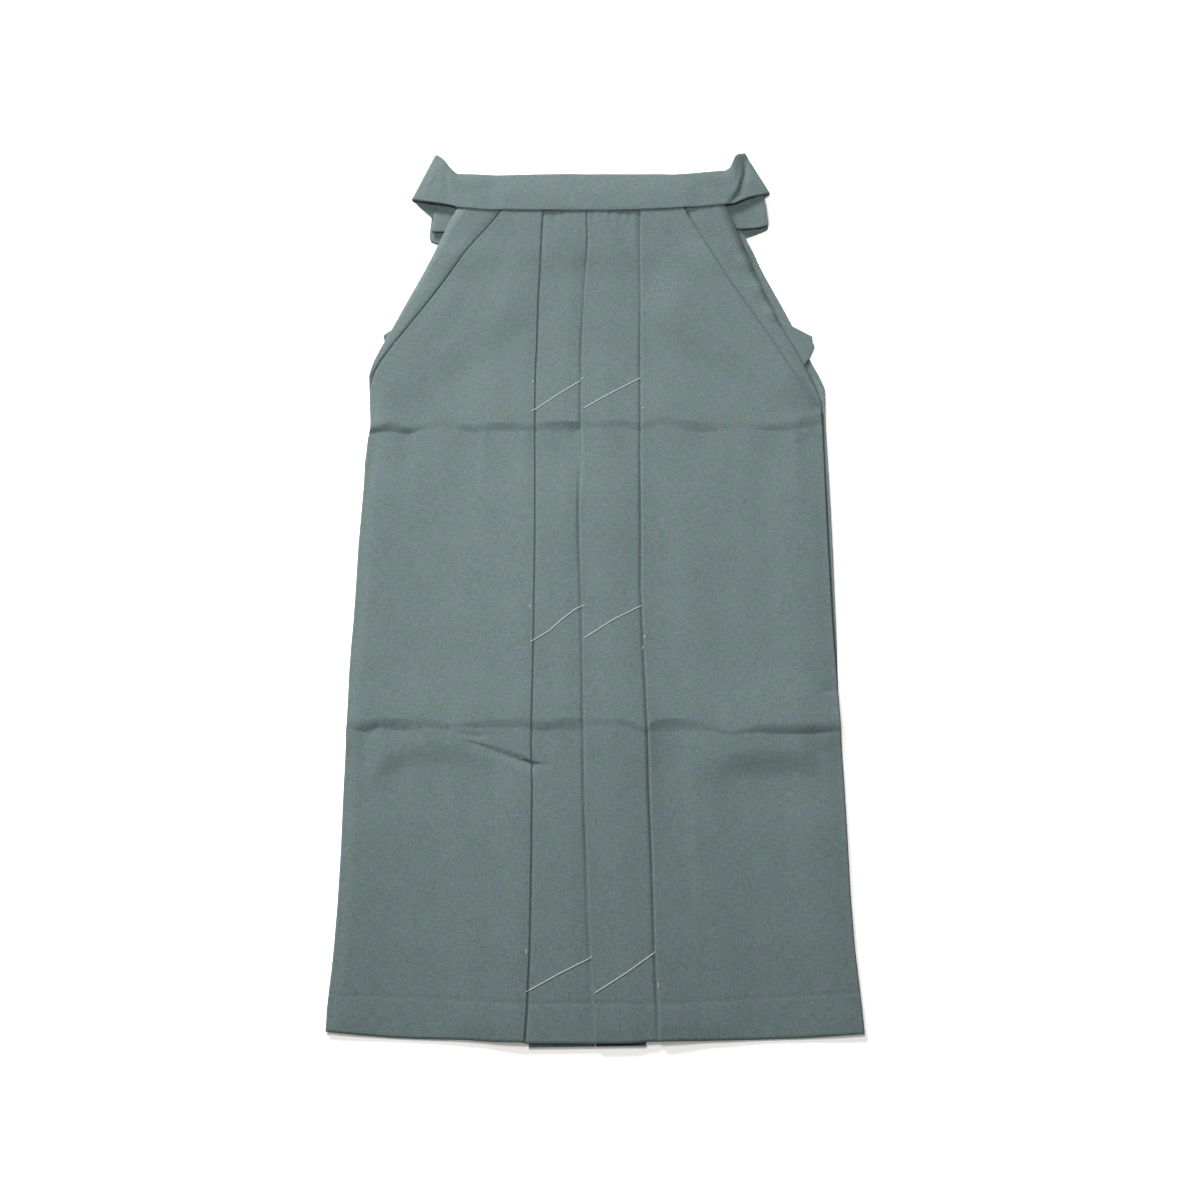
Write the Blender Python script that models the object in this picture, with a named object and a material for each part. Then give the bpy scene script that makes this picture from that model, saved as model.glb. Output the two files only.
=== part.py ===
"""Hakama trousers, pressed and laid flat with the front up: the cloth pieces as solids.

Frame: metres, +Z up, X across the garment, +Y from the hem to the waist. The origin is at the
middle of the footprint, on the surface that the trousers lie on.

Every cloth piece is a sheet of points, swept through the rows of a table and given its wall by
a Solidify modifier. The sheet's height comes from one pile function, which adds up what lies
underneath, so a pleat's hidden layers and the pieces below it stay parallel and clear.
"""
import collections
import math

import bmesh
import bpy
import numpy as np

# ---- driving sizes -------------------------------------------------------------------------
MM = 0.001
WALL = 1.0 * MM            # one layer of cloth
CLEARANCE = 0.3 * MM       # between two layers, and between two pieces at a seam
LAYER = WALL + CLEARANCE   # height that one more layer adds

# ---- tables, in millimetres ----------------------------------------------------------------
# The front, from the waist down to the hem. leaf: outer edge of the strip beside the slanted
# pleat, and the side seam below the slit. fold: the slanted pleat's fold. pleat: the straight
# pleat. centre: the middle pleat.
FRONT_COLUMNS = "y leaf_left fold_left pleat_left centre pleat_right fold_right leaf_right"
FRONT_ROWS = (
    (440, -141.0, -82.0, -50.5, -1.5, 60.5, 101.0, 152.0),
    (424, -145.5, -91.5, -51.7, -1.8, 60.0, 110.5, 156.6),
    (406, -155.4, -104.5, -52.8, -2.2, 59.6, 119.7, 163.9),
    (388, -163.0, -119.6, -53.8, -2.6, 59.2, 129.5, 170.2),
    (366, -172.2, -136.7, -55.1, -3.0, 58.8, 141.5, 177.4),
    (338, -185.5, -155.0, -56.7, -3.4, 58.4, 156.7, 187.9),
    (311, -198.6, -173.2, -58.3, -3.9, 57.8, 172.3, 198.3),
    (277, -214.8, -197.6, -58.5, -5.1, 57.2, 193.4, 212.3),
    (254, -226.8, -214.2, -58.6, -6.1, 56.7, 207.6, 224.9),
    (236, -234.8, -226.0, -58.6, -7.0, 56.3, 217.2, 233.0),
    (221, -240.1, -234.0, -58.7, -7.5, 55.9, 225.2, 239.7),
    (205, -238.6, -237.4, -58.7, -8.1, 55.5, 234.8, 246.0),
    (190, -238.2, -237.4, -58.7, -8.5, 55.2, 243.9, 251.6),
    (176, -237.2, -236.6, -58.7, -8.8, 55.0, 252.9, 253.8),
    (158, -235.8, -235.2, -58.9, -9.3, 54.7, 252.5, 253.1),
    (147, -238.2, -237.6, -59.0, -9.6, 54.5, 252.0, 252.6),
    (120, -240.4, -239.8, -59.2, -10.3, 54.0, 251.5, 252.1),
    (62, -242.3, -241.7, -60.0, -10.9, 53.2, 251.5, 252.1),
    (-30, -244.6, -244.0, -61.0, -10.8, 52.0, 251.8, 252.4),
    (-120, -246.0, -245.4, -61.3, -9.7, 54.3, 252.2, 252.8),
    (-158, -246.3, -245.7, -61.4, -8.9, 55.5, 252.4, 253.0),
    (-174, -246.2, -245.6, -61.5, -8.6, 55.8, 252.3, 252.9),
    (-192, -247.4, -246.8, -61.6, -8.4, 55.9, 253.2, 253.8),
    (-240, -249.2, -248.6, -61.9, -7.8, 56.3, 253.7, 254.3),
    (-320, -252.7, -252.1, -62.8, -6.3, 57.3, 254.7, 255.3),
    (-401, -256.1, -255.5, -63.8, -3.7, 58.6, 256.8, 257.4),
    (-460, -258.3, -257.7, -66.8, -2.3, 59.6, 258.0, 258.6),
    (-490.5, -259.0, -258.4, -69.0, -1.6, 59.9, 258.5, 259.1),
)
# How far each pleat's cloth goes in under its fold before it turns back.
HIDDEN_COLUMNS = "y fold pleat centre"
HIDDEN_ROWS = (
    (440, 10, 16, 18),
    (366, 14, 26, 24),
    (221, 12, 40, 28),
    (-490.5, 10, 46, 34),
)
# The hem is a shallow curve, and the two middle strips hang a little lower than the panels.
HEM_COLUMNS = "x hem"
HEM_ROWS = (
    (-259, -476.8), (-187, -482.3), (-115, -487.0), (-69, -488.8), (-65, -491.2),
    (-1.6, -491.4), (57.5, -491.4), (60, -488.6), (159, -485.2), (259, -480.7),
)
HEM_DROOP_START = -400     # above this row the hem's curve no longer shows in the rows
# The back: the side edges, of which only the right one shows, beside the front's slit.
BACK_COLUMNS = "y left seam right"
BACK_ROWS = (
    (424.6, -143.0, 2.0, 155.0),
    (396, -156.0, 2.0, 174.3),
    (388, -159.5, 2.0, 177.5),
    (366, -169.0, 2.0, 187.0),
    (340, -181.5, 1.0, 197.2),
    (296, -203.0, 0.0, 217.7),
    (274, -213.5, -1.0, 227.4),
    (235, -232.0, -4.0, 243.7),
    (216, -238.0, -5.0, 252.7),
    (200, -236.8, -5.0, 258.0),
    (157, -234.3, -6.0, 257.4),
    (62, -240.6, -6.0, 256.6),
    (-120, -244.4, -6.0, 256.4),
    (-300, -250.4, -4.0, 256.6),
    (-401, -254.0, -2.0, 257.2),
    (-490.5, -257.8, -1.0, 258.2),
)
# The front waistband: its lower and upper edges.
BAND_COLUMNS = "x lower upper"
BAND_ROWS = (
    (-147.0, 424.6, 471.0), (-120.0, 421.4, 470.0), (-101.0, 419.8, 469.1), (-60.0, 418.3, 468.0),
    (-20.0, 417.6, 467.6), (20.0, 417.2, 467.7), (60.0, 417.6, 468.4), (95.0, 419.0, 469.4),
    (120.0, 420.7, 470.4), (139.0, 422.5, 471.6), (159.0, 424.8, 473.0),
)
# How much air is pressed into the front between the two cross creases left by folding the
# trousers in thirds, and below and above them.
SWELL_COLUMNS = "y height"
SWELL_ROWS = (
    (440, 0.0), (366, 0.2), (311, 0.9), (254, 1.4), (205, 1.9), (176, 1.3), (158, 0.1),
    (147, 1.1), (120, 2.0), (62, 1.5), (-30, 1.2), (-120, 1.9), (-158, 1.3), (-174, 0.1),
    (-192, 1.2), (-240, 2.0), (-320, 1.3), (-401, 0.8), (-490.5, 0.3),
)
SWELL_EDGE = 34            # the swell dies away over this distance from the side edges

# ---- what lies under what, in millimetres ---------------------------------------------------
# Each patch is a straight band: its middle, length, width, turn in degrees, and the height it
# adds. level says which pieces it lifts: "floor" the back and all above it, "inside" the front.
Patch = collections.namedtuple("Patch", "level x y length width turn layers")
PATCHES = {
    "tie_runs_under": Patch("floor", 14.0, 404.0, 384.0, 41.0, 0.0, 2),
    "back_waistband": Patch("inside", 5.0, 446.0, 344.0, 41.0, 0.0, 1),
    "tie_runs_inside": Patch("inside", 15.0, 420.0, 382.0, 46.0, 0.0, 2),
    "back_tie_left": Patch("inside", -167.0, 286.5, 132.0, 46.0, 38.0, 2),
    "back_tie_right": Patch("inside", 180.0, 277.0, 138.0, 46.0, -31.0, 2),
    "front_waistband": Patch("inside", 6.0, 449.0, 306.0, 42.0, 0.0, 1),
}
PATCH_MARGIN = 9           # the lift is full this far past a patch's edge
PATCH_RAMP = 20            # and gone this much further out
# The folded ties' ends aren't square. Each row: place across the tie's width, how far the
# start draws in there, how far the end does.
TIE_ENDS = {
    "tie_runs_under": ((0, 12.0, 25.0), (4, 2.5, 18.0), (13, 0.6, 0.6), (28, 1.5, 1.0),
                       (41, 3.0, 3.0)),
    "tie_runs_inside": ((0, 0.6, 12.0), (3, 0.4, 0.4), (18, 2.0, 1.2), (27, 3.0, 2.0),
                        (37, 4.5, 3.2), (46, 5.5, 18.0)),
    "back_tie_left": ((0, 8.0, 0.0), (16, 5.0, 0.0), (32, 5.0, 0.0), (40, 5.6, 0.0),
                      (46, 8.5, 0.0)),
    "back_tie_right": ((0, 0.0, -5.0), (20, 0.0, -6.8), (37, 0.0, -4.8), (40, 0.0, 0.4),
                       (46, 0.0, 2.6)),
}
# The front ties leave the waistband's ends, fold over at a slant and go in underneath. tip and
# peak: the slanted fold's ends. bow: how far the edge at the peak curves. under: the hidden end.
EARS = {
    "left": {"tip": (-198.1, 436.5), "peak": (-171.5, 495.2), "bow": (1.5, -3.0),
             "under_tip": (-168.5, 407.0), "under_peak": (-157.5, 477.0)},
    "right": {"tip": (208.2, 438.6), "peak": (182.4, 495.0), "bow": (-0.5, 1.0),
              "under_tip": (196.0, 424.0), "under_peak": (171.5, 478.0)},
}
EAR_FOLD_HEIGHT = 4.8      # the slanted fold's middle above the floor
EAR_FOLD_RADIUS = 1.7
EAR_CROWN = 1.6            # how far an ear's upper layer bows up between seam and fold
GUSSET_TOP = 40            # the crotch, where the two inner legs meet
GUSSET_HEM = -492.3
GUSSET_DEPTH_HEM = 57      # how far a gusset's fold lies from the middle line
GUSSET_DEPTH_TOP = 30

TURN_ANGLES = np.radians((-90, -30, 30, 90))   # the points round one fold


class Table:
    """Rows of numbers under named columns, read in between its rows along the first column."""

    def __init__(self, columns, rows, unit=MM):
        self.names = columns.split()
        values = np.array(rows, dtype=float) * unit
        self.values = values[np.argsort(values[:, 0])]

    def at(self, key, name):
        return float(np.interp(key, self.values[:, 0], self.values[:, self.names.index(name)]))


FRONT = Table(FRONT_COLUMNS, FRONT_ROWS)
HIDDEN = Table(HIDDEN_COLUMNS, HIDDEN_ROWS)
HEM = Table(HEM_COLUMNS, HEM_ROWS)
BACK = Table(BACK_COLUMNS, BACK_ROWS)
BAND = Table(BAND_COLUMNS, BAND_ROWS)
SWELL = Table(SWELL_COLUMNS, SWELL_ROWS)


def clamp(share):
    return min(1.0, max(0.0, share))


def smooth(share):
    """0 to 1 with a soft start and end."""
    share = clamp(share)
    return share * share * (3 - 2 * share)


def between(start, end, share):
    return start + (end - start) * share


# ---- the pile: how high a layer lies at a place ---------------------------------------------
def patch_share(patch, x, y):
    """How fully a patch lifts what lies on it: 1 on it and round its edge, 0 well outside."""
    right, up = x / MM - patch.x, y / MM - patch.y
    cosine, sine = math.cos(math.radians(patch.turn)), math.sin(math.radians(patch.turn))
    past_end = abs(right * cosine + up * sine) - patch.length / 2
    past_side = abs(up * cosine - right * sine) - patch.width / 2
    outside = math.hypot(max(past_end, 0), max(past_side, 0))
    return smooth((PATCH_MARGIN + PATCH_RAMP - outside) / PATCH_RAMP)


def patch_lift(level, x, y):
    """The height that the patches of one level add at a place."""
    lift = 0.0
    for patch in PATCHES.values():
        if patch.level == level:
            lift += patch_share(patch, x, y) * patch.layers * LAYER
    return lift


def gusset_depth(y):
    """How far a gusset's fold lies from the middle line: widest at the hem."""
    share = (y - GUSSET_HEM * MM) / ((GUSSET_TOP - GUSSET_HEM) * MM)
    return between(GUSSET_DEPTH_HEM, GUSSET_DEPTH_TOP, clamp(share)) * MM


def gusset_lift(x, y):
    """The height that the two gussets, of two layers each, add."""
    outside = abs(x - FRONT.at(y, "centre")) - gusset_depth(y)
    beside = smooth((PATCH_MARGIN * MM + PATCH_RAMP * MM - outside) / (PATCH_RAMP * MM))
    above = smooth(((GUSSET_TOP + PATCH_MARGIN + PATCH_RAMP) * MM - y) / (PATCH_RAMP * MM))
    return beside * above * 2 * LAYER


def swell(x, y):
    """The air under the front: none at the cross creases and at the side edges."""
    from_left = x - FRONT.at(y, "leaf_left")
    from_right = FRONT.at(y, "leaf_right") - x
    edge = smooth(min(from_left, from_right) / (SWELL_EDGE * MM))
    return SWELL.at(y, "height") * edge


def back_base(x, y):
    """Underside of the back."""
    return patch_lift("floor", x, y)


def inside_base(x, y):
    """Underside of what lies between the back and the front."""
    return back_base(x, y) + LAYER


def front_base(x, y):
    """Underside of the front's lowest layer."""
    return inside_base(x, y) + patch_lift("inside", x, y) + gusset_lift(x, y) + swell(x, y)


# ---- making a piece --------------------------------------------------------------------------
def wall_from_sheet(name, rows, material, thickness=WALL):
    """A closed wall: rows of points joined into a sheet, which a Solidify modifier thickens."""
    sheet = bmesh.new()
    grid = [[sheet.verts.new(point) for point in row] for row in rows]
    for low, high in zip(grid, grid[1:]):
        for column in range(len(low) - 1):
            sheet.faces.new((low[column], low[column + 1], high[column + 1], high[column]))
    bmesh.ops.recalc_face_normals(sheet, faces=sheet.faces)
    mesh = bpy.data.meshes.new(name)
    sheet.to_mesh(mesh)
    sheet.free()
    mesh.materials.append(material)
    piece = bpy.data.objects.new(name, mesh)
    bpy.context.collection.objects.link(piece)
    wall = piece.modifiers.new("cloth wall", "SOLIDIFY")
    wall.thickness = thickness
    wall.offset = 0.0
    wall.use_even_offset = False
    wall.use_quality_normals = True
    mesh.shade_smooth()
    mesh.set_sharp_from_angle(angle=math.radians(50))
    return piece


def cloth_material(name, colour, roughness):
    material = bpy.data.materials.new(name)
    material.use_nodes = True
    shader = material.node_tree.nodes["Principled BSDF"]
    shader.inputs["Base Color"].default_value = (*colour, 1.0)
    shader.inputs["Roughness"].default_value = roughness
    shader.inputs["Metallic"].default_value = 0.0
    material.diffuse_color = (*colour, 1.0)
    return material


class Fold:
    """Collects one row of a folded sheet as places (x, height above the base in layers)."""

    def __init__(self):
        self.places = []

    def run(self, xs, levels):
        """A flat stretch, with one level for each x."""
        self.places += list(zip(xs, levels))

    def turn(self, x, level_from, level_to, side):
        """A fold whose outermost point is at x; side is +1 where it opens to the left."""
        radius = LAYER / 2 * abs(level_to - level_from)
        reach = radius + WALL / 2
        middle = (level_from + level_to) / 2
        half = (level_to - level_from) / 2
        for angle in TURN_ANGLES:
            place = x - side * (reach - radius * math.cos(angle))
            self.places.append((place, middle + half * math.sin(angle)))


def hem_shift(x, y):
    """How far the hem's curve moves a point of a row that is drawn level."""
    start = HEM_DROOP_START * MM
    end = FRONT_ROWS[-1][0] * MM
    return clamp((y - start) / (end - start)) * (HEM.at(x, "hem") - end)


def laid(places, y, base):
    """Turn a row's places into points that lie on the pile."""
    points = []
    for x, level in places:
        at_y = y + hem_shift(x, y)
        points.append((x, at_y, base(x, at_y) + WALL / 2 + level * LAYER))
    return points


def spread(start, end, count):
    """count places from start to end, both left out."""
    return [between(start, end, (step + 1) / (count + 1)) for step in range(count)]


# ---- the front ---------------------------------------------------------------------------------
PANEL_STEPS = 4            # places across a front panel, between its two pleats
STRIP_STEPS = 3            # places across a middle strip
UNDER_STEPS = 1            # places across a hidden layer
DIP_WIDTH = 60 * MM        # a panel this wide between its pleats comes all the way down
DIP_SLOPES = 3             # one part in this many of a panel is the slope down from a pleat


def panel_levels(places, inner, outer):
    """Levels across a panel: 2 over each pleat's hidden layers, lower in the free middle."""
    free = abs(outer - inner)
    depth = 2 * smooth(free / DIP_WIDTH)
    levels = []
    for x in places:
        share = (x - inner) / (outer - inner)
        levels.append(2 - depth * smooth(min(share, 1 - share) * DIP_SLOPES))
    return levels


def side_pleat(y, side):
    """The lines of one side's slanted pleat and straight pleat, and where they turn under."""
    leaf, fold = FRONT.at(y, "leaf_" + side), FRONT.at(y, "fold_" + side)
    pleat = FRONT.at(y, "pleat_" + side)
    inward = 1 if side == "left" else -1
    return {
        "leaf": leaf,
        "fold": fold,
        "fold_under": fold + inward * HIDDEN.at(y, "fold"),
        "pleat": pleat,
        "pleat_under": pleat - inward * HIDDEN.at(y, "pleat"),
        "inward": inward,
    }


def outer_layers(row, lines):
    """From the outer edge to the straight pleat's fold: leaf, slanted pleat and main panel."""
    inward = lines["inward"]
    leaf, fold, fold_under = lines["leaf"], lines["fold"], lines["fold_under"]
    pleat, pleat_under = lines["pleat"], lines["pleat_under"]
    under_fold = spread(fold, fold_under, UNDER_STEPS)
    under_pleat = spread(pleat_under, pleat, UNDER_STEPS)
    row.run([leaf] + under_fold, [0] * (1 + len(under_fold)))
    row.turn(fold_under, 0, 1, inward)
    row.run(under_fold[::-1], [1] * len(under_fold))
    row.turn(fold, 1, 2, -inward)
    row.run(under_fold + [fold_under], [2] * (len(under_fold) + 1))
    free = spread(fold_under, pleat_under, PANEL_STEPS)
    row.run(free, panel_levels(free, fold_under, pleat_under))
    row.run([pleat_under] + under_pleat, [2] * (1 + len(under_pleat)))
    row.turn(pleat, 2, 1, inward)
    row.run(under_pleat[::-1], [1] * len(under_pleat))
    row.turn(pleat_under, 1, 0, -inward)
    row.run(under_pleat, [0] * len(under_pleat))


def front_left_row(y):
    """Leaf, slanted pleat, panel, straight pleat and strip, which ends under the right strip."""
    lines = side_pleat(y, "left")
    centre = FRONT.at(y, "centre")
    under = centre + HIDDEN.at(y, "centre")
    row = Fold()
    outer_layers(row, lines)
    strip = [lines["pleat"]] + spread(lines["pleat"], centre, STRIP_STEPS) + [centre]
    strip += spread(centre, under, UNDER_STEPS) + [under]
    row.run(strip, [0] * len(strip))
    return laid(row.places, y, front_base)


def front_right_row(y):
    """The same the other way round, but its strip folds under at the centre, on the left one."""
    lines = side_pleat(y, "right")
    centre = FRONT.at(y, "centre")
    under = centre + HIDDEN.at(y, "centre")
    row = Fold()
    outer_layers(row, lines)
    free = [lines["pleat"]] + spread(lines["pleat"], under, STRIP_STEPS)
    row.run(free, [2 * smooth((lines["pleat"] - x) / (lines["pleat"] - under)) for x in free])
    under_centre = spread(under, centre, UNDER_STEPS)
    row.run([under] + under_centre, [2] * (1 + len(under_centre)))
    row.turn(centre, 2, 1, -1)
    row.run(under_centre[::-1] + [under], [1] * (1 + len(under_centre)))
    return laid(row.places, y, front_base)


def make_fronts(material):
    stations = [row[0] * MM for row in FRONT_ROWS]
    wall_from_sheet("front_left", [front_left_row(y) for y in stations], material)
    wall_from_sheet("front_right", [front_right_row(y) for y in stations], material)


# ---- the back and the inner legs ---------------------------------------------------------------
BACK_STEPS = 5             # places across one half of the back
BACK_HEM_SHORTER = 0.6 * MM
GUSSET_ROWS = 7
GUSSET_STEPS = 2           # places across one layer of a gusset


def back_row(y, side):
    """One level row of the back, from its side edge to the seam at the centre back."""
    edge = BACK.at(y, side)
    seam = BACK.at(y, "seam") + (CLEARANCE / 2 if side == "right" else -CLEARANCE / 2)
    points = []
    for x in [edge] + spread(edge, seam, BACK_STEPS) + [seam]:
        at_y = y + hem_shift(x, y) + BACK_HEM_SHORTER
        points.append((x, at_y, back_base(x, at_y) + WALL / 2))
    return points


def make_backs(material):
    stations = [row[0] * MM for row in BACK_ROWS]
    for side in ("left", "right"):
        wall_from_sheet("back_" + side, [back_row(y, side) for y in stations], material)


def gusset_row(y, side):
    """Two layers that meet in a fold away from the middle: the inner side of one leg."""
    outward = -1 if side == "left" else 1
    middle = FRONT.at(y, "centre") + outward * CLEARANCE
    fold = middle + outward * gusset_depth(y)
    row = Fold()
    flat = [middle] + spread(middle, fold, GUSSET_STEPS)
    row.run(flat, [0] * len(flat))
    row.turn(fold, 0, 1, outward)
    row.run(flat[::-1], [1] * len(flat))
    return [(x, y, inside_base(x, y) + WALL / 2 + level * LAYER) for x, level in row.places]


def make_gussets(material):
    levels = [GUSSET_TOP] + spread(GUSSET_TOP, GUSSET_HEM, GUSSET_ROWS - 2) + [GUSSET_HEM]
    stations = [level * MM for level in levels]
    for side in ("left", "right"):
        rows = [gusset_row(y, side) for y in stations]
        wall_from_sheet("gusset_" + side, rows, material)


# ---- the ties, folded to and fro ----------------------------------------------------------------
RUN_STEPS = 5              # places along one run of a folded tie


def tie_base(name, x, y):
    """Underside of a folded tie: the floor, or the back and the back waistband's edge."""
    if PATCHES[name].level == "floor":
        return 0.0
    band = patch_share(PATCHES["back_waistband"], x, y) * LAYER
    return inside_base(x, y) + (band if name == "tie_runs_inside" else 0.0)


def make_folded_tie(name, material):
    """Two runs of a tie that meet in a fold at one end, lying straight on what is below."""
    patch = PATCHES[name]
    cosine, sine = math.cos(math.radians(patch.turn)), math.sin(math.radians(patch.turn))
    fold_side = -1 if name.endswith("left") else 1
    rows = []
    for across, start_in, end_in in TIE_ENDS[name]:
        ends = [(-patch.length / 2 + start_in) * MM, (patch.length / 2 - end_in) * MM]
        raw, fold = ends[::fold_side]
        flat = [raw] + spread(raw, fold, RUN_STEPS)
        row = Fold()
        row.run(flat, [0] * len(flat))
        row.turn(fold, 0, 1, fold_side)
        row.run(flat[::-1], [1] * len(flat))
        side = (across - patch.width / 2) * MM
        points = []
        for along, level in row.places:
            x = patch.x * MM + along * cosine - side * sine
            y = patch.y * MM + along * sine + side * cosine
            points.append((x, y, tie_base(name, x, y) + WALL / 2 + level * LAYER))
        rows.append(points)
    wall_from_sheet(name, rows, material)


# ---- the waistbands ------------------------------------------------------------------------------
FRONT_TOP = FRONT_ROWS[0][0] * MM      # the front's raw edge, inside the waistband
BAND_INSIDE_EDGE = 429 * MM            # lower edge of the waistband's hidden side
BAND_CLOSED = 0.3                      # layers between the waistband's two sides at its top
CLOSING_START = FRONT_TOP + 3 * MM     # past the raw edge the two sides come together,
CLOSING_END = FRONT_TOP + 15 * MM      # and are closed from here up
WAIST_PILE = (-101.0, 120.0)           # the front is three layers deep between these places
BACK_BAND = {"left": -146.0, "right": 157.0, "lower": 425.4, "upper": 465.5}
BACK_BAND_STEPS = 10                   # places along the back's waistband, and across it
BACK_BAND_RUN_STEPS = 3


def waist_levels(x, y):
    """How many of the front's layers lie over its lowest one inside the waistband."""
    left = x - WAIST_PILE[0] * MM
    right = WAIST_PILE[1] * MM - x
    share = smooth(1 + min(left, right) / (PATCH_RAMP * MM))
    closed = smooth((y - CLOSING_START) / (CLOSING_END - CLOSING_START))
    return between(2 * share, BAND_CLOSED, closed)


def band_height(x, y, level):
    """Middle of the waistband's wall: level 0 is under the front, level 1 is over it."""
    below = front_base(x, y) - patch_share(PATCHES["front_waistband"], x, y) * LAYER
    above = front_base(x, y) + (waist_levels(x, y) + 1) * LAYER
    return between(below, above, level) + WALL / 2


def front_band_row(x):
    """Round the front's top edge at one place: hidden side, fold at the top, then outer side."""
    lower, upper = BAND.at(x, "lower"), BAND.at(x, "upper")
    hidden = [BAND_INSIDE_EDGE, FRONT_TOP, CLOSING_END]
    middle = between(CLOSING_START, CLOSING_END, 0.5)
    outer = [CLOSING_END, middle, CLOSING_START, BAND_INSIDE_EDGE, lower]
    low, high = band_height(x, upper, 0), band_height(x, upper, 1)
    radius = (high - low) / 2
    points = [(x, y, band_height(x, y, 0)) for y in hidden]
    for angle in TURN_ANGLES:
        y = upper - WALL / 2 - radius + radius * math.cos(angle)
        points.append((x, y, (low + high) / 2 + radius * math.sin(angle)))
    points += [(x, y, band_height(x, y, 1)) for y in outer]
    return points


def back_band_row(x):
    """The back's waistband: the same fold round the back's top edge, pressed flat."""
    lower, upper = BACK_BAND["lower"] * MM, BACK_BAND["upper"] * MM
    flat = [lower] + spread(lower, upper, BACK_BAND_RUN_STEPS)
    row = Fold()
    row.run(flat, [0] * len(flat))
    row.turn(upper, 0, 1, 1)
    row.run(flat[::-1], [1] * len(flat))
    return [(x, y, back_base(x, y) + WALL / 2 + level * LAYER) for y, level in row.places]


def make_waistbands(material):
    places = [row[0] * MM for row in BAND_ROWS]
    wall_from_sheet("front_waistband", [front_band_row(x) for x in places], material)
    ends = BACK_BAND["left"] * MM, BACK_BAND["right"] * MM
    places = [ends[0]] + spread(*ends, BACK_BAND_STEPS) + [ends[1]]
    wall_from_sheet("back_waistband", [back_band_row(x) for x in places], material)


# ---- the front ties' ears ------------------------------------------------------------------------
EAR_STEPS = 4              # places from the seam to the slanted fold
EAR_ROWS = (0, 0.25, 0.5, 0.75, 1)


def ear_row(side, share):
    """Along the tie at one place across its width: seam, slanted fold, hidden end."""
    ear = EARS[side]
    outward = -1 if side == "left" else 1
    seam_x = BAND_ROWS[0 if side == "left" else -1][0] * MM + outward * CLEARANCE
    seam_y = between(BAND.at(seam_x, "lower"), BAND.at(seam_x, "upper") - WALL, share)
    seam = np.array((seam_x, seam_y, band_height(seam_x, seam_y, 1)))
    low_tip, low_peak = np.array(ear["tip"]) * MM, np.array(ear["peak"]) * MM
    slant = (low_peak - low_tip) / np.linalg.norm(low_peak - low_tip)
    outwards = np.array((slant[1], -slant[0])) * outward * (1 if slant[1] > 0 else -1)
    reach = EAR_FOLD_RADIUS * MM + WALL / 2
    middle = np.append(between(low_tip, low_peak, share) - outwards * reach,
                       EAR_FOLD_HEIGHT * MM)
    under_end = np.append(between(np.array(ear["under_tip"]), np.array(ear["under_peak"]), share),
                          EAR_FOLD_HEIGHT - EAR_FOLD_RADIUS) * MM
    over = middle + np.array((0, 0, EAR_FOLD_RADIUS * MM))
    under = middle - np.array((0, 0, EAR_FOLD_RADIUS * MM))
    bow = np.append(np.array(ear["bow"]) * share ** 2, EAR_CROWN) * MM
    points = [seam]
    for step in spread(0, 1, EAR_STEPS):
        points.append(between(seam, over, step) + bow * math.sin(math.pi * step))
    for angle in TURN_ANGLES[::-1]:
        turn = outwards * EAR_FOLD_RADIUS * MM * math.cos(angle)
        rise = EAR_FOLD_RADIUS * MM * math.sin(angle)
        points.append(middle + np.append(turn, rise))
    points += [between(under, under_end, step) for step in (0.5, 1.0)]
    return points


def make_ears(material):
    for side in ("left", "right"):
        rows = [ear_row(side, share) for share in EAR_ROWS]
        wall_from_sheet("front_tie_" + side, rows, material)


def main():
    for leftover in list(bpy.data.objects):
        bpy.data.objects.remove(leftover, do_unlink=True)
    cloth = cloth_material("grey_green_plain_weave", (0.19, 0.235, 0.23), 0.85)
    make_backs(cloth)
    make_gussets(cloth)
    make_fronts(cloth)
    make_waistbands(cloth)
    for name in TIE_ENDS:
        make_folded_tie(name, cloth)
    make_ears(cloth)


main()
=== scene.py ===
# %% [markdown]
# # Hakama trousers, pressed and laid flat
# Hakama are wide trousers, folded into pleats that run from the waist to the hem. This pair lies
# on its back on a pale surface, as it leaves the sewing room: pressed, with white basting threads
# across the middle pleats and its ties folded in behind the waistband.
#
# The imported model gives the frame: solids of the right size in the right place. This script puts
# thin cloth on each of them, presses in the creases, sews, and sets a camera and lights.

# %% Load the fixed frame
import collections
import math

import bpy
import numpy as np
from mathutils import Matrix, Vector
from mathutils.bvhtree import BVHTree


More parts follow.
